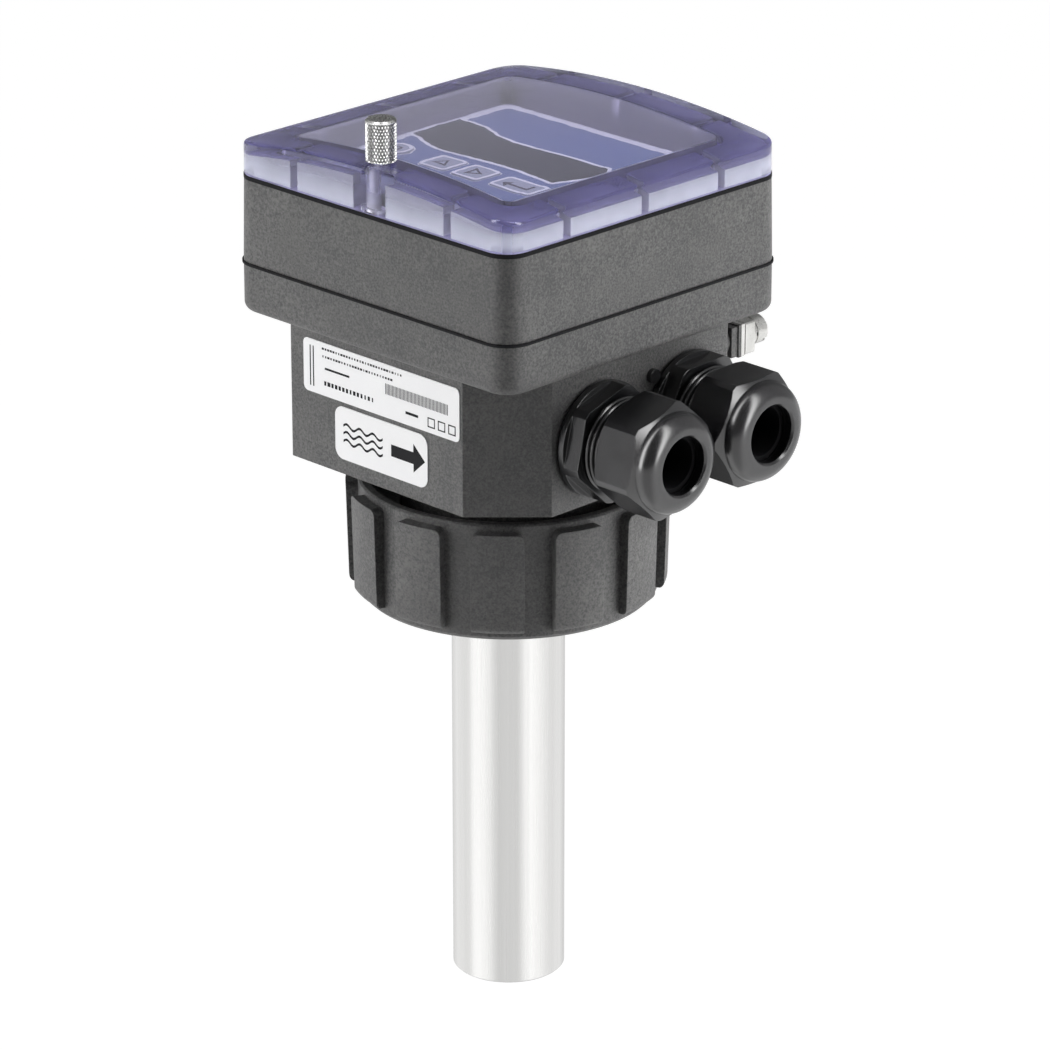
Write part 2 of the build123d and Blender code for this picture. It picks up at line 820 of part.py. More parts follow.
def make_display_bezel():
    body = rounded(panel_half_x, panel_half_y, panel_corner, deck_top, film_bottom,
                   y=panel_short)
    body -= rounded(panel_half_x - panel_wall, panel_half_y - panel_wall,
                    panel_corner - panel_wall, deck_top, film_bottom - panel_wall,
                    y=panel_short)
    body -= slab(-lcd_half_x - fit_gap, lcd_half_x + fit_gap, lcd_front - fit_gap, lcd_back + fit_gap,
                 film_bottom - 2 * panel_wall, film_bottom)
    for outline in key_outlines().values():
        body -= key_hole(outline, film_bottom - panel_wall, film_bottom)
    return body


def make_keypad_film():
    film = rounded(panel_half_x - film_inset, panel_half_y - film_inset, panel_corner,
                   film_bottom, panel_height, y=panel_short)
    for outline in key_outlines().values():
        film -= key_hole(outline, film_bottom, panel_height)
    return film


def make_key(outline):
    cap = extrude(Pos(0, 0, film_bottom - panel_wall) * outline,
                  panel_wall + film_thickness + key_rise)
    centre = cap.center()
    stem = rod(key_stem_radius, key_stem_bottom, film_bottom - panel_wall, centre.X, centre.Y)
    return cap + stem


def make_display_board():
    half_x = panel_half_x - display_board_inset - fit_gap
    half_y = panel_half_y - display_board_inset - fit_gap
    return rounded(half_x, half_y, panel_corner, deck_bottom, display_board_top,
                   y=panel_short)


def make_key_switches():
    top = key_stem_bottom - key_travel - switch_clearance
    switches = []
    for outline in key_outlines().values():
        middle = outline.center()
        switches.append(slab(middle.X - switch_half, middle.X + switch_half,
                             middle.Y - switch_half, middle.Y + switch_half,
                             display_board_top, top))
    return Compound(children=switches)


def make_lcd_module():
    return slab(-lcd_half_x, lcd_half_x, lcd_front, lcd_back, display_board_top, film_bottom)


# Electronics
def make_main_board():
    board = slab(-main_board_half_x, main_board_half_x, -main_board_half_y, main_board_half_y,
                 board_bottom, board_top)
    for x, y in corners(2 * board_screw_x, 2 * board_screw_y):
        board -= rod(board_screw_radius + fit_gap, board_bottom, board_top, x, y)
    return board


def make_board_screws():
    screws = []
    for x, y in corners(2 * board_screw_x, 2 * board_screw_y):
        shank = rod(board_screw_radius, tray_floor - board_screw_depth, board_top, x, y)
        head = rod(board_screw_head_radius, board_top, board_top + board_screw_head_height, x, y)
        screws.append(shank + head)
    return Compound(children=screws)


def make_terminal_block():
    half = terminal_ways * terminal_pitch / 2
    body = slab(terminal_x, terminal_x + terminal_width, -half, half,
                board_bottom - terminal_depth, board_bottom)
    for k in range(terminal_ways):
        y = -half + (k + 0.5) * terminal_pitch
        mouth = Pos(terminal_x + terminal_width, y, board_bottom - terminal_depth / 2)
        body -= mouth * Rot(0, 90, 0) * Cylinder(terminal_hole_radius, terminal_width)
    return body


def make_board_link():
    return slab(link_x - link_depth / 2, link_x + link_depth / 2, -link_width / 2,
                link_width / 2, board_top, deck_bottom)


# Cable glands, each drawn about its own Z
def gland_washer():
    return tube(gland_flange_radius - washer_inset, gland_thread_radius + gland_hole_gap,
                0, washer_thickness)


def gland_body(turn):
    body = rod(gland_flange_radius, washer_thickness, gland_hex_start)
    body += hexagon(gland_flats, turn, gland_hex_start, gland_hex_end) & rod(
        gland_flange_radius, gland_hex_start, gland_hex_end)
    body += rod(gland_neck_radius, gland_hex_end, gland_neck_end)
    body += rod(gland_thread_radius, -gland_thread_length, washer_thickness)
    body -= rod(gland_bore_radius, -gland_thread_length, gland_neck_end)
    body -= rod(gland_seat_radius, gland_seat, gland_neck_end)
    return body


def gland_claw():
    tip = dome_lip_start - claw_tip_gap
    body = turned([
        (claw_bore, gland_seat), (claw_radius, gland_seat), (claw_radius, dome_cone),
        (claw_bore + claw_tip_wall, tip), (claw_bore, tip),
    ])
    for k in range(claw_slots):
        slot = slab(0, 2 * claw_radius, -claw_slot_width / 2, claw_slot_width / 2,
                    gland_neck_end, tip)
        body -= Rot(0, 0, 360 * k / claw_slots) * slot
    return body


def gland_seal():
    end = dome_lip_start - seal_front_gap
    return turned([
        (seal_bore, gland_seat), (seal_radius, gland_seat), (seal_radius, end - seal_edge),
        (seal_radius - seal_edge, end), (seal_bore, end),
    ])


def dome_nut(turn):
    hex_end = dome_start + dome_hex_length
    corner_radius = gland_flange_radius + dome_gap
    dome_radius = gland_flats / 2 - dome_step
    face_radius = dome_radius - dome_round
    bend = dome_round * sin(radians(45))
    outline = make_face(
        Polyline((face_radius, dome_end), (0, dome_end), (0, dome_start),
                 (corner_radius - dome_edge, dome_start), (corner_radius, dome_start + dome_edge),
                 (corner_radius, hex_end), (dome_radius, hex_end + dome_shoulder),
                 (dome_radius, dome_end - dome_round))
        + ThreePointArc((dome_radius, dome_end - dome_round),
                        (face_radius + bend, dome_end - dome_round + bend),
                        (face_radius, dome_end))
    )
    body = revolve(Plane.XZ * outline, Axis.Z) & hexagon(gland_flats, turn, dome_start, dome_end)
    thread_radius = gland_neck_radius + dome_gap
    return body - turned([
        (0, dome_start), (thread_radius, dome_start), (thread_radius, dome_cone),
        (seal_radius + running_gap, dome_lip_start), (dome_opening, dome_lip_start),
        (dome_opening, dome_end - dome_opening_edge),
        (dome_opening + dome_opening_edge, dome_end), (0, dome_end),
    ])


def make_wall_plug():
    return along_x(plug_y, plug_z) * (
        rod(plug_radius, 0, plug_proud) + rod(plug_stem_radius, -wall, 0))


# Earth terminal, drawn about its own Z
def make_earth_clamp():
    plate_top = earth_boss_length + earth_plate_thickness
    gap_top = plate_top + earth_wire_gap
    half = earth_plate_half
    inner = half - earth_gap_inset
    body = slab(-half, half, -half, half, earth_boss_length, plate_top)
    body += slab(-inner, inner, -inner, inner, plate_top, gap_top)
    saddle = slab(-half, half, -half, half, gap_top, earth_stack)
    body += fillet(saddle.edges().filter_by(Axis.Z), earth_gap_inset)
    body -= rod(earth_shank_radius + earth_washer_gap, earth_boss_length, earth_stack)
    return along_y(earth_x, earth_z) * body


def make_earth_washer():
    return along_y(earth_x, earth_z) * tube(
        earth_washer_radius, earth_shank_radius + earth_washer_gap, earth_stack,
        earth_stack + earth_washer_thickness)


def make_earth_spring_washer():
    z0 = earth_stack + earth_washer_thickness
    z1 = z0 + spring_washer_thickness
    body = tube(spring_washer_radius, earth_shank_radius + earth_washer_gap, z0, z1)
    body -= slab(0, 2 * spring_washer_radius, -spring_washer_gap_width / 2,
                 spring_washer_gap_width / 2, z0, z1)
    return along_y(earth_x, earth_z) * body


def make_earth_screw():
    z0 = earth_stack + earth_washer_thickness + spring_washer_thickness
    z1 = z0 + earth_head_height
    body = rod(earth_head_radius, z0, z1)
    body = chamfer(body.faces().sort_by(Axis.Z)[-1].edges(), earth_head_edge)
    body += rod(earth_shank_radius, earth_boss_length - earth_shank_reach, z0)
    slot = Box(3 * earth_head_radius, earth_slot_width, 2 * earth_slot_depth)
    body -= Pos(0, 0, z1) * Rot(0, 0, earth_slot_turn) * slot
    return along_y(earth_x, earth_z) * body


# Labels
def front_label(left, right, bottom, corner):
    outline = Pos((left + right) / 2, bottom + label_height / 2) * RectangleRounded(
        right - left, label_height, corner)
    return Pos(0, box_front, 0) * extrude(Plane.XZ * outline, label_thickness)


nodes = {
    "sensor_tube": make_sensor_tube(),
    "sensor_flange": make_sensor_flange(),
    "flange_seal": make_flange_seal(),
    "spigot_seal": make_spigot_seal(),
    "ring_nut": make_ring_nut(),
    "electrode_holder": make_electrode_holder(),
    "electrode_front": make_electrode(-1),
    "electrode_back": make_electrode(1),
    "field_coil": make_field_coil(),
    "coil_core": make_coil_core(),
    "sensor_leads": make_sensor_leads(),
    "union_nut": make_union_nut(),
    "housing_base": make_housing_base(),
    "base_gasket": make_base_gasket(),
    "cover_frame": make_cover_frame(),
    "cover_screws": make_cover_screws(),
    "lid_gasket": make_lid_gasket(),
    "screw_insert": make_screw_insert(),
    "hinge_pin_left": make_hinge_pin(-1),
    "hinge_pin_right": make_hinge_pin(1),
    "lid": make_lid(),
    "thumb_screw": make_thumb_screw(),
    "thumb_screw_clip": make_thumb_screw_clip(),
    "display_bezel": make_display_bezel(),
    "keypad_film": make_keypad_film(),
    "lcd_module": make_lcd_module(),
    "display_board": make_display_board(),
    "key_switches": make_key_switches(),
    "main_board": make_main_board(),
    "board_screws": make_board_screws(),
    "terminal_block": make_terminal_block(),
    "board_link": make_board_link(),
    "wall_plug": make_wall_plug(),
    "earth_clamp": make_earth_clamp(),
    "earth_washer": make_earth_washer(),
    "earth_spring_washer": make_earth_spring_washer(),
    "earth_screw": make_earth_screw(),
    "rating_label": front_label(rating_label_left, rating_label_right, rating_label_bottom,
                                rating_label_corner),
    "flow_label": front_label(flow_label_left, flow_label_left + flow_label_width,
                              flow_label_bottom, flow_label_corner),
}
for name, outline in key_outlines().items():
    nodes[name] = make_key(outline)
for end, y, turn in zip(("front", "back"), gland_places, gland_turns):
    place = along_x(y, gland_height)
    nodes[f"gland_washer_{end}"] = place * gland_washer()
    nodes[f"gland_body_{end}"] = place * gland_body(-90 - turn)
    nodes[f"gland_claw_{end}"] = place * gland_claw()
    nodes[f"gland_seal_{end}"] = place * gland_seal()
    nodes[f"dome_nut_{end}"] = place * dome_nut(-90 - turn)

os.makedirs("parts", exist_ok=True)
for name, shape in nodes.items():
    export_step(shape, f"parts/{name}.step")
print(len(nodes), "nodes")
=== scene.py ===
# Insertion flow meter: materials, small pieces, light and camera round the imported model.
# Metres, +Z up, the finger points down and the label face looks to -Y.

import json
import math

import bmesh
import bpy
from mathutils import Matrix, Vector


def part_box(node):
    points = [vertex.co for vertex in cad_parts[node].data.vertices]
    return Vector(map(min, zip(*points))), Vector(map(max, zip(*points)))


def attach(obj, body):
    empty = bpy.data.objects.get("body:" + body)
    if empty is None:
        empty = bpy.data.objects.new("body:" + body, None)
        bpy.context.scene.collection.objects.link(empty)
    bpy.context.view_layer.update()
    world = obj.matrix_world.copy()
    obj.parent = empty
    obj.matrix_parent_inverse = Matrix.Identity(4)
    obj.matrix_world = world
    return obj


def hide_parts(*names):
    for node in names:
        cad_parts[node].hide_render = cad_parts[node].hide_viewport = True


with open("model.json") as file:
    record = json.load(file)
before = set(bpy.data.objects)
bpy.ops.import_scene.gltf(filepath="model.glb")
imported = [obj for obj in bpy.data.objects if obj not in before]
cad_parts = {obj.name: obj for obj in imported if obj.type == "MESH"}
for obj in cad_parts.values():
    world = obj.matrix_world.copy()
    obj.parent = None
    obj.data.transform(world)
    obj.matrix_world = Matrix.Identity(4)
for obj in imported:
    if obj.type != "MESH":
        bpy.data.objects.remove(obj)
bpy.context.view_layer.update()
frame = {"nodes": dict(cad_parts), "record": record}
mm = 0.001
weld = 0.002 * mm  # points closer than this are one point
hair = 0.0005 * mm  # the same for print, and the slack of a cut
scene = bpy.context.scene
print("frame loaded:", len(frame["nodes"]), "nodes")


# Helpers for node trees; an input is given a plain value or another node's output
def setInputs(tree, node, values):
    for key, value in values.items():
        if isinstance(value, bpy.types.NodeSocket):
            tree.links.new(value, node.inputs[key])
        else:
            node.inputs[key].default_value = value


def addNode(tree, kind, inputs=None, **settings):
    node = tree.nodes.new(kind)
    for key, value in settings.items():
        setattr(node, key, value)
    setInputs(tree, node, inputs or {})
    return node


def mathNode(tree, operation, *values):
    return addNode(tree, "ShaderNodeMath", dict(enumerate(values)), operation=operation).outputs[0]


def times(tree, first, second):
    return mathNode(tree, "MULTIPLY", first, second)


def plus(tree, first, second):
    return mathNode(tree, "ADD", first, second)


def minus(tree, first, second):
    return mathNode(tree, "SUBTRACT", first, second)


def mixColour(tree, factor, first, second):
    first, second = ((*c, 1.0) if isinstance(c, tuple) else c for c in (first, second))
    return addNode(tree, "ShaderNodeMix", {0: factor, 6: first, 7: second}, data_type="RGBA").outputs[2]


def remap(tree, value, low, high, newLow=0.0, newHigh=1.0, **settings):
    return addNode(tree, "ShaderNodeMapRange", {
        "Value": value, "From Min": low, "From Max": high, "To Min": newLow, "To Max": newHigh},
        **settings).outputs["Result"]


def noise(tree, vector, scale, detail=2.0, roughness=0.5, distortion=0.0):
    return addNode(tree, "ShaderNodeTexNoise", {
        "Vector": vector, "Scale": scale, "Detail": detail, "Roughness": roughness,
        "Distortion": distortion}).outputs["Fac"]


def objectVector(tree):
    return tree.nodes.new("ShaderNodeTexCoord").outputs["Object"]


def partsOf(tree, vector):
    return addNode(tree, "ShaderNodeSeparateXYZ", {0: vector}).outputs


def newMaterial(name):
    material = bpy.data.materials.new(name)
    material.use_nodes = True
    tree = material.node_tree
    return material, tree, tree.nodes["Principled BSDF"], objectVector(tree)


def addBump(tree, shader, height, distance, edge=0.0):
    # With an edge radius, sharp edges take the light as if they were rounded by that much
    bump = addNode(tree, "ShaderNodeBump", {"Strength": 1.0, "Distance": distance, "Height": height})
    if edge:
        soft = addNode(tree, "ShaderNodeBevel", {"Radius": edge}, samples=4)
        tree.links.new(soft.outputs["Normal"], bump.inputs["Normal"])
    tree.links.new(bump.outputs["Normal"], shader.inputs["Normal"])


def newTree(name, kind, inputs, outputs):
    # A socket is its label, the ending of its kind and, for an input, its value
    tree = bpy.data.node_groups.new(name, kind)
    for side, sockets in (("INPUT", inputs), ("OUTPUT", outputs)):
        for label, ending, *values in sockets:
            socket = tree.interface.new_socket(
                name=label, in_out=side, socket_type="NodeSocket" + ending)
            for value in values:
                socket.default_value = value
    return tree, tree.nodes.new("NodeGroupInput").outputs, tree.nodes.new("NodeGroupOutput")


# Shader groups that several finishes share
def makeMouldGrain():
    # Spark-eroded grain with clouded colour, for moulded plastic
    group, given, end = newTree("mouldGrain", "ShaderNodeTree", [
        ("Vector", "Vector"), ("Grain Size", "Float", 0.0004), ("Cloud Size", "Float", 0.012),
        ("Speck", "Float", 0.5)], [("Height", "Float"), ("Tone", "Float"), ("Rough", "Float")])
    grainScale = mathNode(group, "DIVIDE", 1.0, given["Grain Size"])
    cloudScale = mathNode(group, "DIVIDE", 1.0, given["Cloud Size"])
    grain = noise(group, given["Vector"], grainScale, detail=3.0, roughness=0.6)
    pits = addNode(group, "ShaderNodeTexVoronoi", {
        "Vector": given["Vector"], "Scale": times(group, grainScale, 0.55), "Randomness": 1.0})
    cloud = noise(group, given["Vector"], cloudScale, detail=5.0, roughness=0.62)
    speck = times(group, minus(group, grain, 0.5), given["Speck"])
    setInputs(group, end, {
        "Height": mathNode(group, "MULTIPLY_ADD", pits.outputs["Distance"], 0.5, grain),
        "Tone": plus(group, cloud, speck), "Rough": cloud})
    return group


def makeHandling():
    # Faint rubs and dust, as a mask from 0 to 1
    group, given, end = newTree("handling", "ShaderNodeTree", [
        ("Vector", "Vector"), ("Size", "Float", 0.02), ("Amount", "Float", 0.5)], [("Mask", "Float")])
    scale = mathNode(group, "DIVIDE", 1.0, given["Size"])
    broad = noise(group, given["Vector"], scale, detail=6.0, roughness=0.7, distortion=0.6)
    fine = noise(group, given["Vector"], times(group, scale, 26.0))
    mask = remap(group, times(group, broad, fine), 0.2, 0.42, 0.0, given["Amount"])
    setInputs(group, end, {"Mask": mask})
    return group


def makeDrawnLines():
    # Fine lines along Z, as drawing or brushing leaves them on metal
    group, given, end = newTree("drawnLines", "ShaderNodeTree", [
        ("Vector", "Vector"), ("Across", "Float", 5000.0), ("Along", "Float", 25.0)],
        [("Height", "Float"), ("Tone", "Float")])
    stretch = addNode(group, "ShaderNodeCombineXYZ", {
        "X": given["Across"], "Y": given["Across"], "Z": given["Along"]})
    scaled = addNode(group, "ShaderNodeVectorMath", {0: given["Vector"], 1: stretch.outputs[0]},
                     operation="MULTIPLY").outputs[0]
    setInputs(group, end, {"Height": noise(group, scaled, 1.0, detail=4.0, roughness=0.65),
                           "Tone": noise(group, scaled, 0.09, detail=3.0)})
    return group


mouldGrain = makeMouldGrain()
handling = makeHandling()
drawnLines = makeDrawnLines()


def useGroup(tree, group, inputs):
    return addNode(tree, "ShaderNodeGroup", inputs, node_tree=group).outputs


# Finishes
def mouldedPlastic(name, own):
    settings = {"grainSize": 0.3 * mm, "cloudSize": 6 * mm, "speck": 0.3, "rubSize": 10 * mm,
                "rubAmount": 0.1, "bump": 0.01 * mm, "edge": 0.0, "sheenLevel": 0.5, **own}
    material, tree, shader, vector = newMaterial(name)
    grain = useGroup(tree, mouldGrain, {
        "Vector": vector, "Grain Size": settings["grainSize"], "Cloud Size": settings["cloudSize"],
        "Speck": settings["speck"]})
    rubs = useGroup(tree, handling, {
        "Vector": vector, "Size": settings["rubSize"], "Amount": settings["rubAmount"]})
    base = mixColour(tree, remap(tree, grain["Tone"], 0.25, 0.75), settings["dark"], settings["light"])
    setInputs(tree, shader, {
        "Base Color": mixColour(tree, rubs["Mask"], base, settings["rubColour"]),
        "Roughness": remap(tree, grain["Rough"], 0.3, 0.7, *settings["rough"]),
        "IOR": 1.5, "Specular IOR Level": settings["sheenLevel"]})
    addBump(tree, shader, grain["Height"], settings["bump"], settings["edge"])
    return material


housingPlastic = mouldedPlastic("housingPlastic", {
    "grainSize": 0.5 * mm, "cloudSize": 12 * mm, "speck": 1.7, "rubSize": 26 * mm, "rubAmount": 0.5,
    "dark": (0.038, 0.038, 0.039), "light": (0.092, 0.091, 0.09), "rubColour": (0.16, 0.158, 0.155),
    "rough": (0.46, 0.66), "bump": 0.08 * mm, "edge": 0.35 * mm})
glandPlastic = mouldedPlastic("glandPlastic", {
    "grainSize": 0.35 * mm, "cloudSize": 9 * mm, "rubSize": 14 * mm, "rubAmount": 0.12,
    "dark": (0.01, 0.01, 0.011), "light": (0.018, 0.018, 0.02), "rubColour": (0.05, 0.05, 0.054),
    "rough": (0.2, 0.27), "bump": 0.006 * mm, "edge": 0.3 * mm, "sheenLevel": 0.85})
innerPlastic = mouldedPlastic("innerPlastic", {
    "grainSize": 0.4 * mm, "cloudSize": 8 * mm, "speck": 0.4, "rubSize": 12 * mm,
    "dark": (0.03, 0.03, 0.032), "light": (0.045, 0.045, 0.048), "rubColour": (0.08, 0.08, 0.08),
    "rough": (0.42, 0.55), "bump": 0.012 * mm})
bezelPlastic = mouldedPlastic("bezelPlastic", {
    "grainSize": 0.4 * mm, "cloudSize": 8 * mm, "speck": 0.2, "rubSize": 12 * mm,
    "dark": (0.36, 0.37, 0.42), "light": (0.44, 0.45, 0.5), "rubColour": (0.5, 0.5, 0.54),
    "rough": (0.38, 0.5)})
sealRubber = mouldedPlastic("sealRubber", {
    "grainSize": 0.25 * mm, "cloudSize": 5 * mm, "rubAmount": 0.2,
    "dark": (0.004, 0.004, 0.005), "light": (0.007, 0.007, 0.008), "rubColour": (0.02, 0.02, 0.02),
    "rough": (0.6, 0.75), "sheenLevel": 0.12})
holderPlastic = mouldedPlastic("holderPlastic", {
    "dark": (0.42, 0.33, 0.21), "light": (0.5, 0.4, 0.27), "rubColour": (0.6, 0.5, 0.36),
    "rough": (0.35, 0.45)})
terminalPlastic = mouldedPlastic("terminalPlastic", {
    "dark": (0.02, 0.16, 0.06), "light": (0.03, 0.22, 0.09), "rubColour": (0.2, 0.3, 0.22),
    "rough": (0.4, 0.5)})


def drawnMetal(name, settings):
    material, tree, shader, vector = newMaterial(name)
    lines = useGroup(tree, drawnLines, {
        "Vector": vector, "Across": settings["across"], "Along": settings["along"]})
    tone = remap(tree, lines["Tone"], 0.3, 0.7)
    setInputs(tree, shader, {
        "Base Color": mixColour(tree, tone, settings["dark"], settings["light"]), "Metallic": 1.0,
        "Roughness": remap(tree, lines["Height"], 0.3, 0.7, *settings["rough"])})
    addBump(tree, shader, lines["Height"], settings["bump"])
    return material


tubeSteel = drawnMetal("tubeSteel", {
    "across": 3200.0, "along": 14.0, "dark": (0.56, 0.557, 0.55), "light": (0.65, 0.647, 0.64),
    "rough": (0.2, 0.3), "bump": 0.003 * mm})
turnedSteel = drawnMetal("turnedSteel", {
    "across": 900.0, "along": 6000.0, "dark": (0.6, 0.59, 0.57), "light": (0.72, 0.71, 0.69),
    "rough": (0.22, 0.36), "bump": 0.004 * mm})
screwSteel = drawnMetal("screwSteel", {
    "across": 2500.0, "along": 2500.0, "dark": (0.54, 0.54, 0.52), "light": (0.7, 0.695, 0.68),
    "rough": (0.24, 0.4), "bump": 0.006 * mm})
knobSteel = drawnMetal("knobSteel", {
    "across": 2500.0, "along": 2500.0, "dark": (0.56, 0.56, 0.55), "light": (0.68, 0.68, 0.67),
    "rough": (0.22, 0.34), "bump": 0.004 * mm})
brassMetal = drawnMetal("brassMetal", {
    "across": 900.0, "along": 6000.0, "dark": (0.6, 0.43, 0.18), "light": (0.75, 0.57, 0.28),
    "rough": (0.2, 0.34), "bump": 0.004 * mm})
coreIron = drawnMetal("coreIron", {
    "across": 900.0, "along": 6000.0, "dark": (0.25, 0.25, 0.25), "light": (0.36, 0.36, 0.36),
    "rough": (0.3, 0.45), "bump": 0.004 * mm})
copperWire = drawnMetal("copperWire", {
    "across": 500.0, "along": 9000.0, "dark": (0.45, 0.15, 0.06), "light": (0.62, 0.25, 0.1),
    "rough": (0.25, 0.4), "bump": 0.06 * mm})


def lidPlastic():
    # Polished outside and over the window, frosted on the faces inside the border's pockets
    settings = {"tint": (0.89, 0.885, 0.96), "depthTint": (0.46, 0.43, 0.66), "density": 95.0,
                "polished": (0.006, 0.024), "frosted": 0.42, "ior": 1.5, "clear": 0.985, "crown": 113.3,
                "archRadius": 271.9, "skin": 1.0, "windowHalf": 34.2, "outerHalf": 43.6,
                "rippleScale": 90.0, "ripple": 0.02}
    material, tree, shader, vector = newMaterial("lidPlastic")
    place = partsOf(tree, vector)
    far = mathNode(tree, "MAXIMUM", mathNode(tree, "ABSOLUTE", place["X"]),
                   mathNode(tree, "ABSOLUTE", place["Y"]))
    arch = times(tree, times(tree, place["X"], place["X"]), 0.5 / (settings["archRadius"] * mm))
    underSkin = minus(tree, (settings["crown"] - settings["skin"]) * mm, arch)
    pocket = mathNode(tree, "LESS_THAN", place["Z"], underSkin)
    for side, half in (("GREATER_THAN", "windowHalf"), ("LESS_THAN", "outerHalf")):
        pocket = times(tree, pocket, mathNode(tree, side, far, settings[half] * mm))
    ripple = noise(tree, vector, settings["rippleScale"])
    rough = remap(tree, ripple, 0.35, 0.65, *settings["polished"])
    setInputs(tree, shader, {
        "Base Color": (*settings["tint"], 1.0), "IOR": settings["ior"],
        "Transmission Weight": settings["clear"],
        "Roughness": mathNode(tree, "MULTIPLY_ADD", pocket, settings["frosted"], rough)})
    addBump(tree, shader, ripple, settings["ripple"] * mm)
    depth = addNode(tree, "ShaderNodeVolumeAbsorption", {
        "Color": (*settings["depthTint"], 1.0), "Density": settings["density"]})
    tree.links.new(depth.outputs["Volume"], tree.nodes["Material Output"].inputs["Volume"])
    return material


def smoothFilm(name, colour, roughness, clear=0.0, sheenLevel=0.5):
    settings = {"rubSize": 9 * mm, "rubAmount": 0.35, "grainScale": 2600.0, "uneven": 0.03,
                "bump": 0.002 * mm}
    material, tree, shader, vector = newMaterial(name)
    rubs = useGroup(tree, handling, {
        "Vector": vector, "Size": settings["rubSize"], "Amount": settings["rubAmount"]})
    light = tuple(min(1.0, c * 1.12 + 0.01) for c in colour)
    fine = noise(tree, vector, settings["grainScale"])
    setInputs(tree, shader, {
        "Base Color": mixColour(tree, rubs["Mask"], colour, light),
        "Roughness": remap(tree, fine, 0.3, 0.7, roughness - settings["uneven"],
                           roughness + settings["uneven"]),
        "Alpha": 1.0 - clear, "Specular IOR Level": sheenLevel})
    addBump(tree, shader, fine, settings["bump"])
    return material


lidClear = lidPlastic()
labelFilm = smoothFilm("labelFilm", (0.92, 0.92, 0.93), 0.42)
panelBorder = smoothFilm("panelBorder", (0.8, 0.81, 0.86), 0.4, sheenLevel=0.1)
displayGlass = smoothFilm("displayGlass", (0.1, 0.11, 0.13), 0.2)
boardGreen = smoothFilm("boardGreen", (0.02, 0.14, 0.05), 0.35)
keyFilm = smoothFilm("keyFilm", (0.34, 0.37, 0.44), 0.42, sheenLevel=0.1)
cableGrey = smoothFilm("cableGrey", (0.25, 0.25, 0.26), 0.5)

finishBySlot = {
    "stainless_tube": tubeSteel, "stainless_turned": turnedSteel, "seal_rubber": sealRubber,
    "inner_plastic": innerPlastic, "holder_plastic": holderPlastic, "copper_winding": copperWire,
    "core_iron": coreIron, "cable_grey": cableGrey, "housing_plastic": housingPlastic,
    "screw_steel": screwSteel, "brass": brassMetal, "lid_clear": lidClear, "plated_brass": knobSteel,
    "bezel_plastic": bezelPlastic, "panel_film": panelBorder, "lcd": displayGlass,
    "circuit_board": boardGreen, "terminal_green": terminalPlastic, "gland_plastic": glandPlastic,
    "label_film": labelFilm, "key_plastic": keyFilm,
}
for row in frame["record"]["subparts"]:
    cadNode = frame["nodes"][row["node"]]
    cadNode.data.materials.clear()
    cadNode.data.materials.append(finishBySlot[row["material_slot"]])
print("finishes on the CAD nodes")


# Helpers for pieces
def linkPiece(name, mesh, body, material=None):
    if material:
        mesh.materials.clear()
        mesh.materials.append(material)
    piece = bpy.data.objects.new(name, mesh)
    scene.collection.objects.link(piece)
    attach(piece, body)
    return piece


def meshOf(source):
    # The evaluated shape of an object as a plain mesh; the object goes
    graph = bpy.context.evaluated_depsgraph_get()
    mesh = bpy.data.meshes.new_from_object(source.evaluated_get(graph))
    bpy.data.objects.remove(source)
    return mesh


def reshape(mesh, change, *details):
    work = bmesh.new()
    work.from_mesh(mesh)
    change(work, *details)
    work.to_mesh(mesh)
    work.free()


def faceOutwards(work):
    bmesh.ops.recalc_face_normals(work, faces=work.faces)


def closeHoles(work):
    bmesh.ops.holes_fill(work, edges=[edge for edge in work.edges if edge.is_boundary], sides=0)
    faceOutwards(work)


def bakeTree(name, tree, values):
    # Sets the inputs by their identifiers, then turns the result into a plain mesh
    holder = bpy.data.objects.new(name + "Holder", bpy.data.meshes.new(name + "Start"))
    scene.collection.objects.link(holder)
    modifier = holder.modifiers.new("nodes", "NODES")
    modifier.node_group = tree
    for item in tree.interface.items_tree:
        if item.in_out == "INPUT" and item.name in values:
            modifier[item.identifier] = values[item.name]
    mesh = meshOf(holder)
    mesh.name = name
    return mesh


def joinMeshes(name, meshes):
    joined = bmesh.new()
    for mesh in meshes:
        joined.from_mesh(mesh)
    result = bpy.data.meshes.new(name)
    joined.to_mesh(result)
    joined.free()
    return result


def endTree(tree, end, geometry, material):
    real = addNode(tree, "GeometryNodeRealizeInstances", {"Geometry": geometry})
    finish = addNode(tree, "GeometryNodeSetMaterial", {"Geometry": real.outputs[0], "Material": material})
    tree.links.new(finish.outputs[0], end.inputs[0])


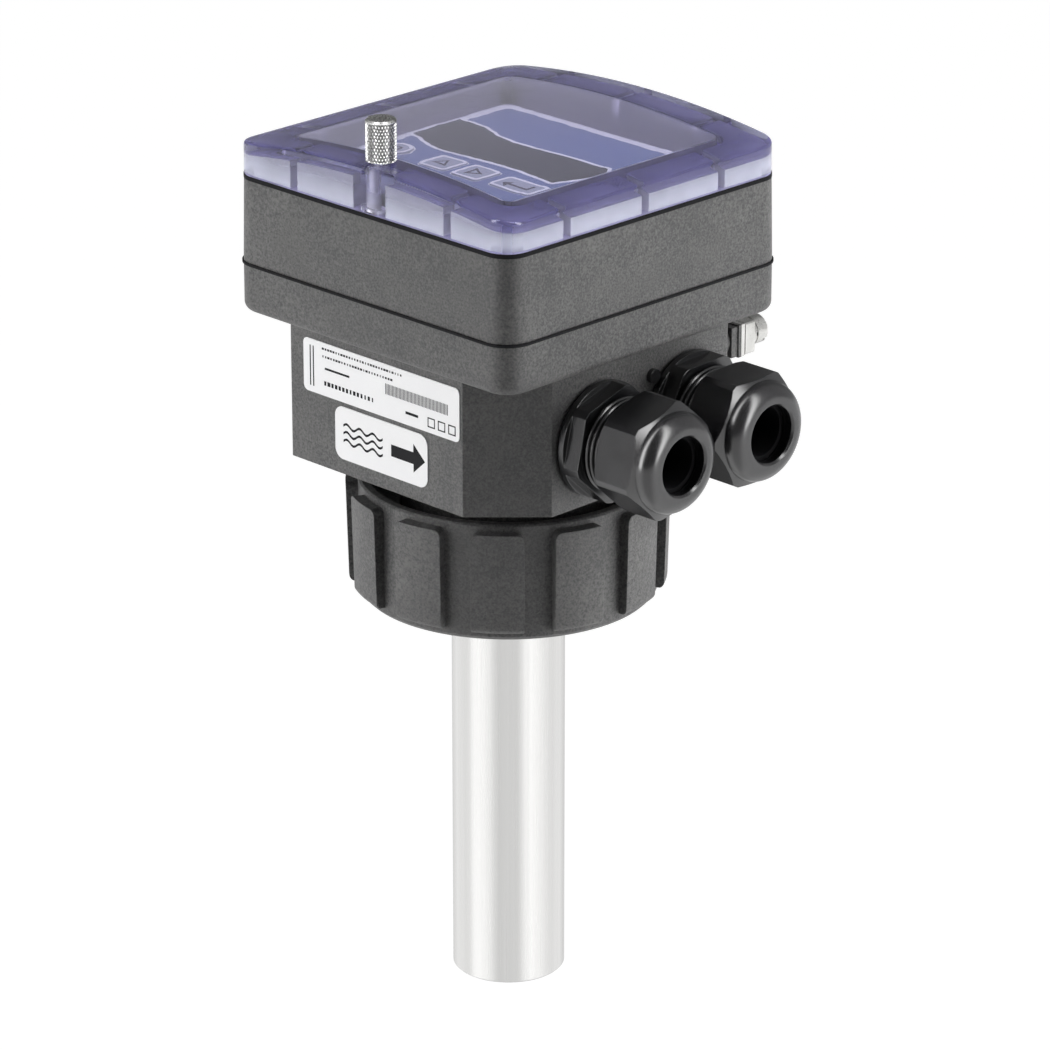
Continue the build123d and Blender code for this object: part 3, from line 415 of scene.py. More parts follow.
# Thread: a truncated triangle swept along a spiral, fading in and out at its ends
def makeThreadTree():
    settings = {"sink": 0.4, "endScale": 0.05}
    tree, given, end = newTree("threadTree", "GeometryNodeTree", [
        ("Radius", "Float", 0.01), ("Crest", "Float", 0.0005), ("Pitch", "Float", 0.0015),
        ("Turns", "Float", 3.0), ("Root Width", "Float", 0.0013), ("Crest Width", "Float", 0.0004),
        ("Resolution", "Int", 96), ("Turn", "Vector", (0, 0, 0)), ("First Place", "Vector", (0, 0, 0)),
        ("Step", "Vector", (0, 0, 0)), ("Count", "Int", 1), ("Fade", "Float", 0.08),
        ("Material", "Material")], [("Geometry", "Geometry")])
    spiral = addNode(tree, "GeometryNodeCurveSpiral", {
        "Resolution": given["Resolution"], "Rotations": given["Turns"], "Start Radius": given["Radius"],
        "End Radius": given["Radius"], "Height": times(tree, given["Pitch"], given["Turns"])})
    upright = addNode(tree, "GeometryNodeSetCurveNormal", {"Curve": spiral.outputs[0]}, mode="Z_UP")
    # The profile's X runs towards the spiral's axis
    rootHalf = times(tree, given["Root Width"], 0.5)
    crestHalf = times(tree, given["Crest Width"], 0.5)
    out = times(tree, given["Crest"], -1.0)
    sink = times(tree, given["Crest"], settings["sink"])
    corners = {}
    for across, along, sign in ((sink, rootHalf, -1.0), (out, crestHalf, -1.0), (out, crestHalf, 1.0),
                                (sink, rootHalf, 1.0)):
        corner = addNode(tree, "ShaderNodeCombineXYZ", {"X": across, "Y": times(tree, along, sign)})
        corners["Point %d" % (len(corners) + 1)] = corner.outputs[0]
    profile = addNode(tree, "GeometryNodeCurvePrimitiveQuadrilateral", corners, mode="POINTS")
    factor = tree.nodes.new("GeometryNodeSplineParameter").outputs["Factor"]
    nearest = mathNode(tree, "MINIMUM", factor, minus(tree, 1.0, factor))
    fade = mathNode(tree, "DIVIDE", nearest, given["Fade"])
    sweep = addNode(tree, "GeometryNodeCurveToMesh", {
        "Curve": upright.outputs[0], "Profile Curve": profile.outputs[0], "Fill Caps": True,
        "Scale": mathNode(tree, "MINIMUM", plus(tree, fade, settings["endScale"]), 1.0)})
    turned = addNode(tree, "GeometryNodeTransform", {
        "Geometry": sweep.outputs[0], "Rotation": given["Turn"]})
    line = addNode(tree, "GeometryNodeMeshLine", {
        "Count": given["Count"], "Start Location": given["First Place"], "Offset": given["Step"]},
        mode="OFFSET")
    copies = addNode(tree, "GeometryNodeInstanceOnPoints", {
        "Points": line.outputs[0], "Instance": turned.outputs[0]})
    endTree(tree, end, copies.outputs[0], given["Material"])
    return tree


threadTree = makeThreadTree()


def threadMesh(name, settings, others):
    sizes = {label: settings[key] * mm for label, key in (
        ("Radius", "rootRadius"), ("Crest", "crest"), ("Pitch", "pitch"), ("Root Width", "rootWidth"),
        ("Crest Width", "crestWidth"))}
    return bakeTree(name, threadTree, {
        **sizes, "Turns": settings["turns"], "Resolution": settings["resolution"],
        "Fade": settings["fade"], **others})


def makeGlandThreads():
    # Millimetres, from the housing's wall along each gland's own axis
    settings = {"wall": 36.0, "start": 6.95, "pitch": 1.5, "turns": 2.9, "rootRadius": 10.9, "crest": 0.8,
                "rootWidth": 1.2, "crestWidth": 0.28, "axisY": (-6.7, 22.6), "axisZ": 48.3,
                "resolution": 96, "fade": 0.06}
    firstY, lastY = settings["axisY"]
    first = ((settings["wall"] + settings["start"]) * mm, firstY * mm, settings["axisZ"] * mm)
    mesh = threadMesh("gland_threads", settings, {
        "Turn": (0.0, math.pi / 2, 0.0), "First Place": first, "Step": (0.0, (lastY - firstY) * mm, 0.0),
        "Count": 2, "Material": glandPlastic})
    linkPiece("gland_threads", mesh, "housing")


def makeUnionThread():
    # The crest is below zero, because this thread stands inwards
    settings = {"rootRadius": 29.8, "crest": -1.4, "pitch": 2.309, "start": 1.6, "turns": 5.6,
                "rootWidth": 2.15, "crestWidth": 0.45, "resolution": 144, "fade": 0.05}
    mesh = threadMesh("union_thread", settings, {
        "First Place": (0.0, 0.0, settings["start"] * mm), "Count": 1, "Material": housingPlastic})
    reshape(mesh, faceOutwards)
    linkPiece("union_thread", mesh, "union_nut")


makeGlandThreads()
makeUnionThread()
print("threads on the gland necks and in the union nut")


# Knurled sleeve: a grid wrapped round the knob, with two crossing sets of grooves
def makeKnurlTree():
    settings = {"stepsPerDiamond": 8.0, "flatTop": 1.25, "aboveZero": 100.0}
    tree, given, end = newTree("knurlTree", "GeometryNodeTree", [
        ("Radius", "Float", 0.0036), ("Depth", "Float", 0.00025), ("Height", "Float", 0.008),
        ("Around", "Int", 28), ("Upwards", "Int", 6), ("Fade", "Float", 0.0003),
        ("Centre", "Vector", (0, 0, 0)), ("Material", "Material")], [("Geometry", "Geometry")])
    columns, rows = (plus(tree, times(tree, given[key], settings["stepsPerDiamond"]), 1.0)
                     for key in ("Around", "Upwards"))
    grid = addNode(tree, "GeometryNodeMeshGrid", {
        "Size X": 1.0, "Size Y": 1.0, "Vertices X": columns, "Vertices Y": rows})
    place = partsOf(tree, tree.nodes.new("GeometryNodeInputPosition").outputs[0])
    around = plus(tree, place["X"], 0.5)
    upwards = plus(tree, place["Y"], 0.5)
    acrossCount = times(tree, around, given["Around"])
    upCount = times(tree, upwards, given["Upwards"])

    def groove(phase):
        # 0 in the groove's bottom, 1 half way to the next
        saw = mathNode(tree, "FRACT", plus(tree, phase, settings["aboveZero"]))
        wave = mathNode(tree, "ABSOLUTE", mathNode(tree, "MULTIPLY_ADD", saw, 2.0, -1.0))
        return minus(tree, 1.0, wave)

    ridge = mathNode(tree, "MINIMUM", groove(plus(tree, acrossCount, upCount)),
                     groove(minus(tree, acrossCount, upCount)))
    flatTop = mathNode(tree, "MINIMUM", times(tree, ridge, settings["flatTop"]), 1.0)
    height = times(tree, upwards, given["Height"])
    nearest = mathNode(tree, "MINIMUM", height, minus(tree, given["Height"], height))
    fade = mathNode(tree, "MINIMUM", mathNode(tree, "DIVIDE", nearest, given["Fade"]), 1.0)
    depth = times(tree, times(tree, minus(tree, flatTop, 1.0), given["Depth"]), fade)
    radius = plus(tree, given["Radius"], depth)
    angle = times(tree, around, 2 * math.pi)
    wrapped = addNode(tree, "ShaderNodeCombineXYZ", {
        "X": times(tree, radius, mathNode(tree, "COSINE", angle)),
        "Y": times(tree, radius, mathNode(tree, "SINE", angle)), "Z": height})
    moved = addNode(tree, "GeometryNodeSetPosition", {
        "Geometry": grid.outputs["Mesh"], "Position": wrapped.outputs[0], "Offset": given["Centre"]})
    merged = addNode(tree, "GeometryNodeMergeByDistance", {
        "Geometry": moved.outputs[0], "Distance": weld})
    endTree(tree, end, merged.outputs[0], given["Material"])
    return tree


def darkenGrooves(material, centre, radius, depth, bottom, top, grooveShade):
    # Painted shade in the knurl's grooves: the colour darkens by how far a point lies inside the sleeve's
    # radius
    settings = {"darkFrom": 0.3, "darkest": 0.95, "deepest": 1.2}
    tree = material.node_tree
    base = tree.nodes["Principled BSDF"].inputs["Base Color"]
    place = partsOf(tree, objectVector(tree))
    fromX = minus(tree, place["X"], centre[0])
    fromY = minus(tree, place["Y"], centre[1])
    square = mathNode(tree, "MULTIPLY_ADD", fromX, fromX, times(tree, fromY, fromY))
    reach = mathNode(tree, "SQRT", square)
    mask = remap(tree, reach, radius - depth * settings["darkest"], radius - depth * settings["darkFrom"],
                 1.0, 0.0)
    for first, operation, second in ((reach, "GREATER_THAN", radius - depth * settings["deepest"]),
                                     (place["Z"], "GREATER_THAN", bottom),
                                     (place["Z"], "LESS_THAN", top)):
        mask = times(tree, mask, mathNode(tree, operation, first, second))
    tree.links.new(mixColour(tree, mask, base.links[0].from_socket, (grooveShade,) * 3), base)


def makeKnob():
    settings = {"radius": 3.58, "depth": 0.34, "headHeight": 10.0, "plainTop": 0.6, "plainBottom": 0.35,
                "around": 28, "upwards": 6, "fade": 0.15, "grooveShade": 0.16, "margin": 0.1}
    radius, depth = settings["radius"] * mm, settings["depth"] * mm
    low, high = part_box("thumb_screw")
    bottom = high[2] - (settings["headHeight"] - settings["plainBottom"]) * mm
    top = high[2] - settings["plainTop"] * mm
    centre = ((low[0] + high[0]) / 2, (low[1] + high[1]) / 2)
    sleeve = bakeTree("knurl", makeKnurlTree(), {
        "Radius": radius, "Depth": depth, "Height": top - bottom, "Around": settings["around"],
        "Upwards": settings["upwards"], "Fade": settings["fade"] * mm,
        "Centre": (*centre, bottom), "Material": knobSteel})
    reshape(sleeve, closeHoles)
    # Painted shade: the steel's colour darkens towards the bottom of the knurl's grooves
    darkenGrooves(knobSteel, centre, radius, depth, bottom, top, settings["grooveShade"])

    def cutSleeveAway(work):
        # The plain parts of the CAD screw stay, cut where the sleeve takes over
        bmesh.ops.remove_doubles(work, verts=work.verts, dist=weld)
        for level in (bottom, top):
            bmesh.ops.bisect_plane(work, geom=work.verts[:] + work.edges[:] + work.faces[:], dist=hair,
                                   plane_co=(0, 0, level), plane_no=(0, 0, 1))
        gone = [face for face in work.faces if bottom < face.calc_center_median().z < top
                and min(math.hypot(v.co.x - centre[0], v.co.y - centre[1]) for v in face.verts)
                > radius - settings["margin"] * mm]
        bmesh.ops.delete(work, geom=gone, context="FACES")
        closeHoles(work)

    cad = frame["nodes"]["thumb_screw"].data.copy()
    reshape(cad, cutSleeveAway)
    mesh = joinMeshes("knurled_screw", [cad, sleeve])
    for polygon in mesh.polygons:
        polygon.use_smooth = False
    piece = linkPiece("knurled_screw", mesh, "thumb_screw", knobSteel)
    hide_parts("thumb_screw")


makeKnob()
print("knurled thumb screw")


def fadingFrost(name, colour, upper, roughness, seam):
    # Denser and paler at the seam, clearer upwards, unevenly, as a textured mould wall looks
    settings = {"low": 0.2, "high": 6.2, "densest": 0.85, "clearest": 0.2, "uneven": 0.3,
                "patch": 110.0}
    material = smoothFilm(name, colour, roughness)
    tree = material.node_tree
    vector = objectVector(tree)
    height = partsOf(tree, vector)["Z"]
    span = (seam + settings["low"] * mm, seam + settings["high"] * mm)
    fade = remap(tree, height, *span, settings["densest"], settings["clearest"])
    patch = noise(tree, vector, settings["patch"])
    shift = times(tree, minus(tree, patch, 0.5), settings["uneven"])
    setInputs(tree, tree.nodes["Principled BSDF"], {
        "Base Color": mixColour(tree, remap(tree, height, *span), colour, upper),
        "Alpha": plus(tree, fade, shift)})
    return material


# The lid's matt faces: skins a hair thick, just inside the clear plastic
def makeLidSkins():
    # Millimetres; upright, sloping and level are limits for how far a face's normal points up or down,
    # and a frost has two colours, at the seam and higher up
    settings = {"seam": 102.3, "outerWall": 42.9, "cornerFrom": 38.5, "windowWall": 36.2,
                "ceilingFrom": 2.0, "slack": 0.05, "apart": 0.1, "upright": 0.3, "sloping": 0.5,
                "level": 0.99, "inset": 0.01, "thickness": 0.04, "roughness": 0.6,
                "edge": (0.42, 0.4, 0.6), "wallFrost": ((0.78, 0.82, 0.81), (0.56, 0.58, 0.64)),
                "ribFrost": ((0.95, 0.96, 0.97), (0.5, 0.5, 0.68)), "top": (0.22, 0.21, 0.42),
                "topClear": 0.5}
    seam, wall = settings["seam"] * mm, settings["outerWall"] * mm
    corner, window = settings["cornerFrom"] * mm, settings["windowWall"] * mm
    slack, apart = settings["slack"] * mm, settings["apart"] * mm
    rough = settings["roughness"]

    def skinOf(face):
        # The skin that a face of the lid belongs to, if any
        normal, place = face.normal, face.calc_center_median()
        near, far = sorted((abs(place.x), abs(place.y)))
        if normal.z < -settings["level"] and abs(place.z - seam) < slack:
            return "lid_underside"
        if place.z > seam and abs(normal.z) < settings["upright"]:
            inwards = normal.x * place.x + normal.y * place.y < 0
            if inwards and far < wall + slack and (far > wall - apart or near > corner):
                return "lid_wall_frost"
            if window - apart < far < wall - apart:
                return "lid_rib_frost"
        above = place.z > seam + settings["ceilingFrom"] * mm
        if above and normal.z < -settings["sloping"] and window < far < wall:
            return "lid_top_frost"
        return None

    def keepSkin(work, name):
        bmesh.ops.remove_doubles(work, verts=work.verts, dist=weld)
        other = [face for face in work.faces if skinOf(face) != name]
        bmesh.ops.delete(work, geom=other, context="FACES")
        work.normal_update()
        for vert in work.verts:
            vert.co += -vert.normal * settings["inset"] * mm
        raised = bmesh.ops.extrude_face_region(work, geom=work.faces[:], use_keep_orig=True)
        for part in raised["geom"]:
            if isinstance(part, bmesh.types.BMVert):
                part.co += -part.normal * settings["thickness"] * mm
        faceOutwards(work)

    finishes = {
        "lid_underside": smoothFilm("lidEdgeMatt", settings["edge"], rough),
        "lid_wall_frost": fadingFrost("lidWallFrost", *settings["wallFrost"], rough, seam),
        "lid_rib_frost": fadingFrost("lidRibFrost", *settings["ribFrost"], rough, seam),
        "lid_top_frost": smoothFilm("lidTopFrost", settings["top"], rough, clear=settings["topClear"])}
    for name, finish in finishes.items():
        mesh = frame["nodes"]["lid"].data.copy()
        mesh.name = name
        reshape(mesh, keepSkin, name)
        linkPiece(name, mesh, "lid", finish)


makeLidSkins()
print("matt faces of the lid")


# Printed shapes: closed loops filled flat and given a hair's thickness
def flatShapes(name, loops, thickness, turn, body, material, height=0.0):
    # Loops are lists of points in millimetres; a loop inside another is a hole
    curve = bpy.data.curves.new(name + "Outline", "CURVE")
    curve.dimensions = "2D"
    curve.fill_mode = "BOTH"
    curve.extrude = thickness * mm / 2
    for loop in loops:
        spline = curve.splines.new("POLY")
        spline.points.add(len(loop) - 1)
        for point, (across, up) in zip(spline.points, loop):
            point.co = (across * mm, up * mm, 0.0, 1.0)
        spline.use_cyclic_u = True
    outline = bpy.data.objects.new(name + "Outline", curve)
    scene.collection.objects.link(outline)
    mesh = meshOf(outline)
    mesh.transform(Matrix.Translation((0, 0, (height + thickness / 2) * mm)))
    mesh.transform(turn)

    def sealSeams(work):
        bmesh.ops.remove_doubles(work, verts=work.verts, dist=hair)
        faceOutwards(work)

    reshape(mesh, sealSeams)
    return linkPiece(name, mesh, body, material)


def smoothLoop(points, steps=6):
    # A closed loop through the points; a point given twice stays a corner
    loop = []
    count = len(points)
    for index in range(count):
        before, first, second, after = (points[(index + shift) % count] for shift in (-1, 0, 1, 2))
        if first == second:
            continue
        for step in range(steps):
            t = step / steps
            loop.append(tuple(0.5 * (2 * b + (c - a) * t + (2 * a - 5 * b + 4 * c - d) * t * t
                                     + (3 * b - a - 3 * c + d) * t ** 3)
                              for a, b, c, d in zip(before, first, second, after)))
    return loop


def roundedLoop(left, right, bottom, top, corner, steps=5):
    loop = []
    for x, y, first in ((right - corner, top - corner, 0), (left + corner, top - corner, 90),
                        (left + corner, bottom + corner, 180), (right - corner, bottom + corner, 270)):
        for step in range(steps + 1):
            angle = math.radians(first + 90 * step / steps)
            loop.append((x + corner * math.cos(angle), y + corner * math.sin(angle)))
    return loop


def circle(x, y, radius, count):
    angles = [2 * math.pi * step / count for step in range(count)]
    return [(x + radius * math.cos(angle), y + radius * math.sin(angle)) for angle in angles]


def bar(left, right, bottom, top):
    return [(left, bottom), (right, bottom), (right, top), (left, top)]


def grown(loop, distance):
    # The loop moved outwards by a distance, for an outline of even width
    result = []
    area = sum(a[0] * b[1] - b[0] * a[1] for a, b in zip(loop, loop[1:] + loop[:1]))
    side = 1.0 if area > 0 else -1.0
    for before, here, after in zip(loop[-1:] + loop[:-1], loop, loop[1:] + loop[:1]):
        first = Vector((here[0] - before[0], here[1] - before[1])).normalized()
        second = Vector((after[0] - here[0], after[1] - here[1])).normalized()
        middle = (first + second).normalized()
        reach = distance / max(0.5, middle.dot(first))
        result.append((here[0] + side * middle.y * reach, here[1] - side * middle.x * reach))
    return result


def printInk(name, colour, roughness=0.45):
    return smoothFilm(name, colour, roughness, sheenLevel=0.05)


inkBlack = printInk("inkBlack", (0.018, 0.018, 0.02))
inkBlue = printInk("inkBlue", (0.13, 0.175, 0.35))
inkPale = printInk("inkPale", (0.9, 0.91, 0.95))
inkDisplay = printInk("inkDisplay", (0.03, 0.034, 0.038), 0.5)


# Rows of bars and single lines on the labels, as copies of one bar along a line
def makeBarTree():
    tree, given, end = newTree("barTree", "GeometryNodeTree", [
        ("Bar Size", "Vector", (0.001, 0.001, 0.001)), ("First Place", "Vector", (0, 0, 0)),
        ("Step", "Vector", (0, 0, 0)), ("Count", "Int", 2), ("Spread", "Float", 0.0),
        ("Seed", "Int", 4), ("Material", "Material")], [("Geometry", "Geometry")])
    block = addNode(tree, "GeometryNodeMeshCube", {"Size": given["Bar Size"]})
    line = addNode(tree, "GeometryNodeMeshLine", {
        "Count": given["Count"], "Start Location": given["First Place"], "Offset": given["Step"]},
        mode="OFFSET")
    chance = addNode(tree, "FunctionNodeRandomValue", {
        2: minus(tree, 1.0, given["Spread"]), 3: plus(tree, 1.0, given["Spread"]),
        "Seed": given["Seed"]}, data_type="FLOAT")
    size = addNode(tree, "ShaderNodeCombineXYZ", {"X": chance.outputs[1], "Y": 1.0, "Z": 1.0})
    copies = addNode(tree, "GeometryNodeInstanceOnPoints", {
        "Points": line.outputs[0], "Instance": block.outputs[0], "Scale": size.outputs[0]})
    endTree(tree, end, copies.outputs[0], given["Material"])
    return tree


def makeLabelPrint():
    # A row is its left, right, bottom and top as shares of the rating label, how many bars it has, a
    # bar's width as a share of the pitch, how much the widths differ, and the seed for that
    settings = {"face": -36.3, "thickness": 0.02, "ratingLow": (-30.9, 50.6), "ratingHigh": (20.9, 63.6),
                "rows": (((0.53, 0.93, 0.44, 0.64), 46, 0.5, 0.0, 4),
                         ((0.14, 0.30, 0.50, 0.54), 1, 1.0, 0.0, 4),
                         ((0.66, 0.74, 0.20, 0.25), 1, 1.0, 0.0, 4),
                         ((0.12, 0.64, 0.865, 0.905), 30, 0.55, 0.5, 3),
                         ((0.12, 0.58, 0.72, 0.76), 26, 0.55, 0.5, 8),
                         ((0.13, 0.46, 0.20, 0.28), 14, 0.55, 0.5, 5),
                         ((0.035, 0.075, 0.12, 0.88), 2, 0.35, 0.0, 4)),
                "squares": (0.80, 0.865, 0.93), "squaresUp": 0.1, "squareSize": 2.4, "squareLine": 0.3,
                "flowMiddle": 43.0, "arrow": (-1.6, 5.8, 9.6), "arrowHalf": (1.45, 3.5),
                "waveStart": -17.6, "waveLength": 13.2, "waveLifts": (-1.9, 0.0, 1.9),
                "waveHeight": 0.55, "waveCount": 3, "waveHalfWidth": 0.3, "waveSteps": 32}
    left, bottom = settings["ratingLow"]
    right, top = settings["ratingHigh"]
    depth = settings["thickness"]
    tree = makeBarTree()
    meshes = []
    for place, count, share, spread, seed in settings["rows"]:
        first, last = (left + u * (right - left) for u in place[:2])
        low, high = (bottom + v * (top - bottom) for v in place[2:])
        pitch = (last - first) / count
        sizes = {"Bar Size": (pitch * share, depth, high - low),
                 "First Place": (first + pitch / 2, settings["face"] - depth / 2, (low + high) / 2),
                 "Step": (pitch, 0.0, 0.0)}
        meshes.append(bakeTree("labelRow", tree, {
            **{key: tuple(v * mm for v in size) for key, size in sizes.items()},
            "Count": count, "Spread": spread, "Seed": seed, "Material": inkBlack}))
    linkPiece("rating_label_lines", joinMeshes("rating_label_lines", meshes), "housing", inkBlack)

    squares = []
    size, line = settings["squareSize"], settings["squareLine"]
    z = bottom + settings["squaresUp"] * (top - bottom)
    for u in settings["squares"]:
        x = left + u * (right - left)
        squares += [bar(x, x + size, z, z + size),
                    bar(x + line, x + size - line, z + line, z + size - line)]
    frontTurn = Matrix(((1, 0, 0, 0), (0, 0, -1, settings["face"] * mm), (0, 1, 0, 0), (0, 0, 0, 1)))
    flatShapes("rating_label_squares", squares, depth, frontTurn, "housing", inkBlack)

    # Flow direction: wavy lines and an arrow to +X
    middle, (tail, neck, tip) = settings["flowMiddle"], settings["arrow"]
    shaft, head = settings["arrowHalf"]
    arrow = [(tail, middle - shaft), (neck, middle - shaft), (neck, middle - head), (tip, middle),
             (neck, middle + head), (neck, middle + shaft), (tail, middle + shaft)]
    steps, half = settings["waveSteps"], settings["waveHalfWidth"]
    waves = []
    for lift in settings["waveLifts"]:
        line = []
        for step in range(steps + 1):
            turn = 2 * math.pi * step / steps * settings["waveCount"]
            line.append((settings["waveStart"] + settings["waveLength"] * step / steps,
                         middle + lift + settings["waveHeight"] * math.sin(turn)))
        waves.append([(x, z - half) for x, z in line] + [(x, z + half) for x, z in line[::-1]])
    flatShapes("flow_label_print", [arrow] + waves, depth, frontTurn, "housing", inkBlack)


makeLabelPrint()
print("label print")


def makePanelPrint():
    # A key is its middle, its half sizes and its symbol's loops, which are drawn round the middle
    settings = {
        "face": 104.4, "layer": 0.02, "fieldHalfX": 27.4, "fieldLow": -24.4, "fieldHigh": 27.4,
        "corner": 1.4, "outline": 0.95, "outlineLeft": -29.6, "keyRow": -14.0, "valueKey": -22.5,
        "valueHole": 4.55, "valueRings": (3.9, 3.1), "valueDot": (1.5, 0.9), "holeGap": 0.35,
        "holeCorner": 1.5, "rimOuter": 0.05, "rimInner": 0.85, "rimCorners": (1.15, 0.6),
        "display": [
            (-28.6, -2.7), (-28.6, -2.7), (-28.9, 12.6), (-28.9, 12.6), (-24.2, 12.8), (-20.4, 12.2),
            (-16.6, 11.0), (-13.0, 9.7), (-9.7, 8.9), (-4.8, 8.6), (2.0, 9.1), (9.0, 9.5), (15.4, 9.6),
            (22.4, 9.7), (22.4, 9.7), (24.5, 6.2), (23.4, 0.0), (20.8, -6.4), (20.8, -6.4), (9.1, -5.5),
            (0.3, -5.6), (-10.7, -6.4), (-17.5, -6.4), (-21.8, -5.0), (-25.0, -3.6)],
        "keys": {
            "key_up": (-7.0, 4.3, 4.3, [[(-2.2, -1.6), (2.2, -1.6), (0.0, 2.1)],
                                        [(-1.25, -1.0), (1.25, -1.0), (0.0, 1.1)]]),
            "key_right": (3.6, 4.3, 4.3, [[(-1.7, -2.2), (2.1, 0.0), (-1.7, 2.2)],
                                          [(-1.15, -1.2), (0.9, 0.0), (-1.15, 1.2)]]),
            "key_enter": (17.6, 6.5, 3.8, [[
                (-4.4, -0.9), (-2.5, -2.6), (-2.5, -1.3), (3.4, -1.3), (3.4, 2.0), (2.6, 2.0),
                (2.6, -0.5), (-2.5, -0.5), (-2.5, 0.8)]])}}
    layer, row, valueKey = settings["layer"], settings["keyRow"], settings["valueKey"]
    panelTurn = Matrix.Translation((0, 0, settings["face"] * mm))

    def keyLoop(middle, half, deep, grow, corner):
        return roundedLoop(middle - half - grow, middle + half + grow, row - deep - grow,
                           row + deep + grow, corner)

    field = [roundedLoop(-settings["fieldHalfX"], settings["fieldHalfX"], settings["fieldLow"],
                         settings["fieldHigh"], settings["corner"]),
             circle(valueKey, row, settings["valueHole"], 32)]
    for middle, half, deep, _ in settings["keys"].values():
        field.append(keyLoop(middle, half, deep, settings["holeGap"], settings["holeCorner"]))
    flatShapes("panel_field", field, layer, panelTurn, "housing", inkBlue)

    display = smoothLoop(settings["display"])
    edged = [(max(settings["outlineLeft"], x), y) for x, y in grown(display, settings["outline"])]
    flatShapes("display_outline", [edged], layer, panelTurn, "housing", inkPale, height=layer)
    flatShapes("display_window", [display], layer, panelTurn, "housing", inkDisplay, height=2 * layer)

    def keyPrint(key, rim, symbol):
        lift = Matrix.Translation((0, 0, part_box(key)[1][2]))
        flatShapes(key + "_rim", rim, layer, lift, key, inkPale)
        flatShapes(key + "_symbol", symbol, layer, lift, key, inkBlack)

    outerCorner, innerCorner = settings["rimCorners"]
    for key, (middle, half, deep, symbol) in settings["keys"].items():
        rim = [keyLoop(middle, half, deep, -settings["rimOuter"], outerCorner),
               keyLoop(middle, half, deep, -settings["rimInner"], innerCorner)]
        keyPrint(key, rim, [[(middle + x, row + y) for x, y in loop] for loop in symbol])
    keyPrint("key_value", [circle(valueKey, row, radius, 40) for radius in settings["valueRings"]],
             [circle(valueKey, row, radius, 24) for radius in settings["valueDot"]])


makePanelPrint()
print("panel print")


# Floor, world, lamps and camera
def roomTone(tree, direction, room):
    # What gloss mirrors round the object: a soft dark front, a bright strip each side of it, then the
    # rest. The pattern is fixed in the room and goes by the heading, counted from the front
    parts = partsOf(tree, direction)
    heading = mathNode(tree, "ARCTAN2", parts["X"], times(tree, parts["Y"], -1.0))
    turned = minus(tree, heading, math.radians(room["frontHeading"]))
    away = mathNode(tree, "ARCCOSINE", mathNode(tree, "COSINE", turned))
    total = room["front"]
    for first, last, change in (("riseFrom", "riseTo", room["strip"] - room["front"]),
                                ("fallFrom", "fallTo", room["side"] - room["strip"]),
                                ("backFrom", "backTo", room["back"] - room["side"])):
        ramp = remap(tree, away, math.radians(room[first]), math.radians(room[last]), 0.0, change,
                     interpolation_type="SMOOTHSTEP")
        total = plus(tree, ramp, total)
    return total


def raysIn(tree):
    # Rays that look straight or through glass, and rays that gloss sends
    path = tree.nodes.new("ShaderNodeLightPath").outputs
    seen = mathNode(tree, "MAXIMUM", path["Is Camera Ray"], path["Is Transmission Ray"])
    return seen, path["Is Glossy Ray"]


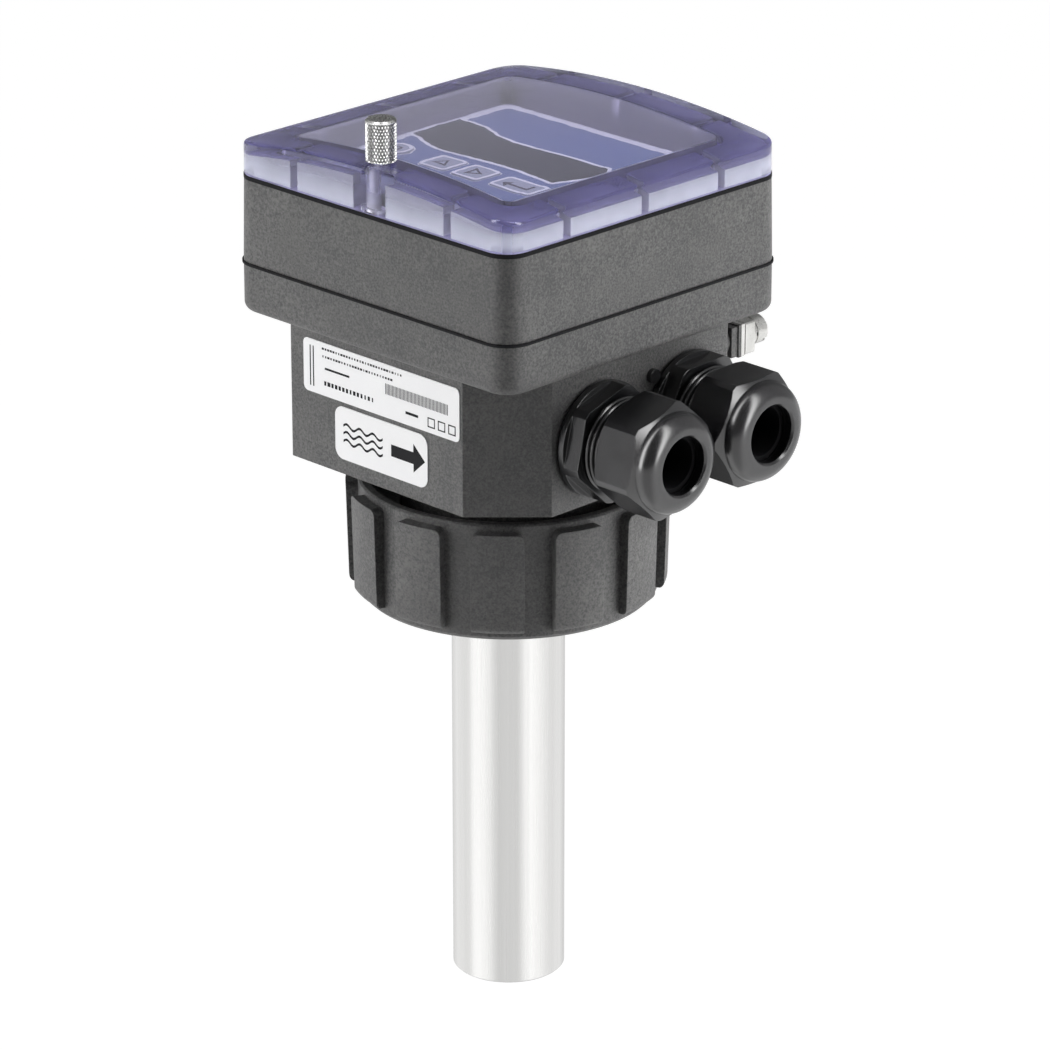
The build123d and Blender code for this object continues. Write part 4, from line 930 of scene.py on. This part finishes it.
def makeStage():
    settings = {"floorHeight": -1.1, "floorHalf": 12.0, "glow": 0.985, "floorColour": 0.22,
                "plainColour": 0.8, "worldForLight": 0.06}
    floorRoom = {"frontHeading": 42.0, "front": 1.07, "strip": 1.62, "side": 1.24, "back": 0.85,
                 "riseFrom": 16.0, "riseTo": 50.0, "fallFrom": 62.0, "fallTo": 88.0,
                 "backFrom": 130.0, "backTo": 162.0}
    worldRoom = {"frontHeading": 45.0, "front": 0.22, "strip": 9.0, "side": 0.5, "back": 0.2,
                 "riseFrom": 36.0, "riseTo": 48.0, "fallFrom": 56.0, "fallTo": 70.0,
                 "backFrom": 120.0, "backTo": 155.0}
    white = (1, 1, 1, 1)
    mesh = bpy.data.meshes.new("floor")
    half = settings["floorHalf"]
    corners = [(x, y, settings["floorHeight"]) for x, y in bar(-half, half, -half, half)]
    mesh.from_pydata(corners, [], [(0, 1, 2, 3)])
    floor = bpy.data.objects.new("floor", mesh)
    scene.collection.objects.link(floor)
    material = bpy.data.materials.new("floorPaper")
    material.use_nodes = True
    mesh.materials.append(material)
    tree = material.node_tree
    tree.nodes.clear()
    seen, glossy = raysIn(tree)
    glow = addNode(tree, "ShaderNodeEmission", {"Color": white, "Strength": settings["glow"]})
    paper, plain = (addNode(tree, "ShaderNodeBsdfDiffuse", {"Color": (settings[key],) * 3 + (1,)})
                    for key in ("floorColour", "plainColour"))
    lit = addNode(tree, "ShaderNodeAddShader", {0: glow.outputs[0], 1: paper.outputs[0]})
    position = tree.nodes.new("ShaderNodeNewGeometry").outputs["Position"]
    shown = addNode(tree, "ShaderNodeEmission", {
        "Color": white, "Strength": roomTone(tree, position, floorRoom)})
    unseen = addNode(tree, "ShaderNodeMixShader", {0: glossy, 1: plain.outputs[0], 2: shown.outputs[0]})
    mix = addNode(tree, "ShaderNodeMixShader", {0: seen, 1: unseen.outputs[0], 2: lit.outputs[0]})
    addNode(tree, "ShaderNodeOutputMaterial", {"Surface": mix.outputs[0]})

    world = bpy.data.worlds.new("studio")
    scene.world = world
    world.use_nodes = True
    tree = world.node_tree
    seen, glossy = raysIn(tree)
    around = tree.nodes.new("ShaderNodeTexCoord").outputs["Generated"]
    mirrored = times(tree, glossy, roomTone(tree, around, worldRoom))
    other = mathNode(tree, "MAXIMUM", mirrored, settings["worldForLight"])
    setInputs(tree, tree.nodes["Background"], {
        "Color": white, "Strength": mathNode(tree, "MAXIMUM", seen, other)})


def makeLamps():
    # Place, size and power; left and right are as the camera sees them: it stands at +X, -Y
    settings = {"aim": (0, 0, 0.03), "softboxes": {
        "leftSoftbox": ((-0.84, -0.76, -0.15), (1.2, 1.8), 22.0),
        "rightSoftbox": ((0.76, 0.84, -0.15), (1.2, 1.8), 30.5),
        "topSoftbox": ((-0.1, 0.1, 1.3), (0.8, 0.8), 5.0)}}
    for name, (position, size, power) in settings["softboxes"].items():
        data = bpy.data.lights.new(name, "AREA")
        data.shape = "RECTANGLE"
        data.size, data.size_y = size
        data.energy = power
        lamp = bpy.data.objects.new(name, data)
        scene.collection.objects.link(lamp)
        lamp.visible_glossy = False
        lamp.location = position
        lamp.rotation_mode = "QUATERNION"
        lamp.rotation_quaternion = (Vector(settings["aim"]) - Vector(position)).to_track_quat("-Z", "Y")


def makeCamera():
    settings = {"azimuth": 45.0, "elevation": 21.3, "distance": 1.253, "lens": 182.0, "sensor": 36.0,
                "clip": (0.01, 50.0), "target": (0.0028, 0.0028, 0.0150)}
    data = bpy.data.cameras.new("camera")
    data.lens = settings["lens"]
    data.sensor_width = settings["sensor"]
    data.clip_start, data.clip_end = settings["clip"]
    camera = bpy.data.objects.new("camera", data)
    scene.collection.objects.link(camera)
    azimuth, elevation = math.radians(settings["azimuth"]), math.radians(settings["elevation"])
    back = Vector((math.sin(azimuth) * math.cos(elevation), -math.cos(azimuth) * math.cos(elevation),
                   math.sin(elevation)))
    camera.location = Vector(settings["target"]) + back * settings["distance"]
    camera.rotation_mode = "QUATERNION"
    camera.rotation_quaternion = (-back).to_track_quat("-Z", "Y")
    scene.camera = camera


makeStage()
makeLamps()
makeCamera()
scene.view_settings.view_transform = "Standard"
print("stage, lamps and camera")
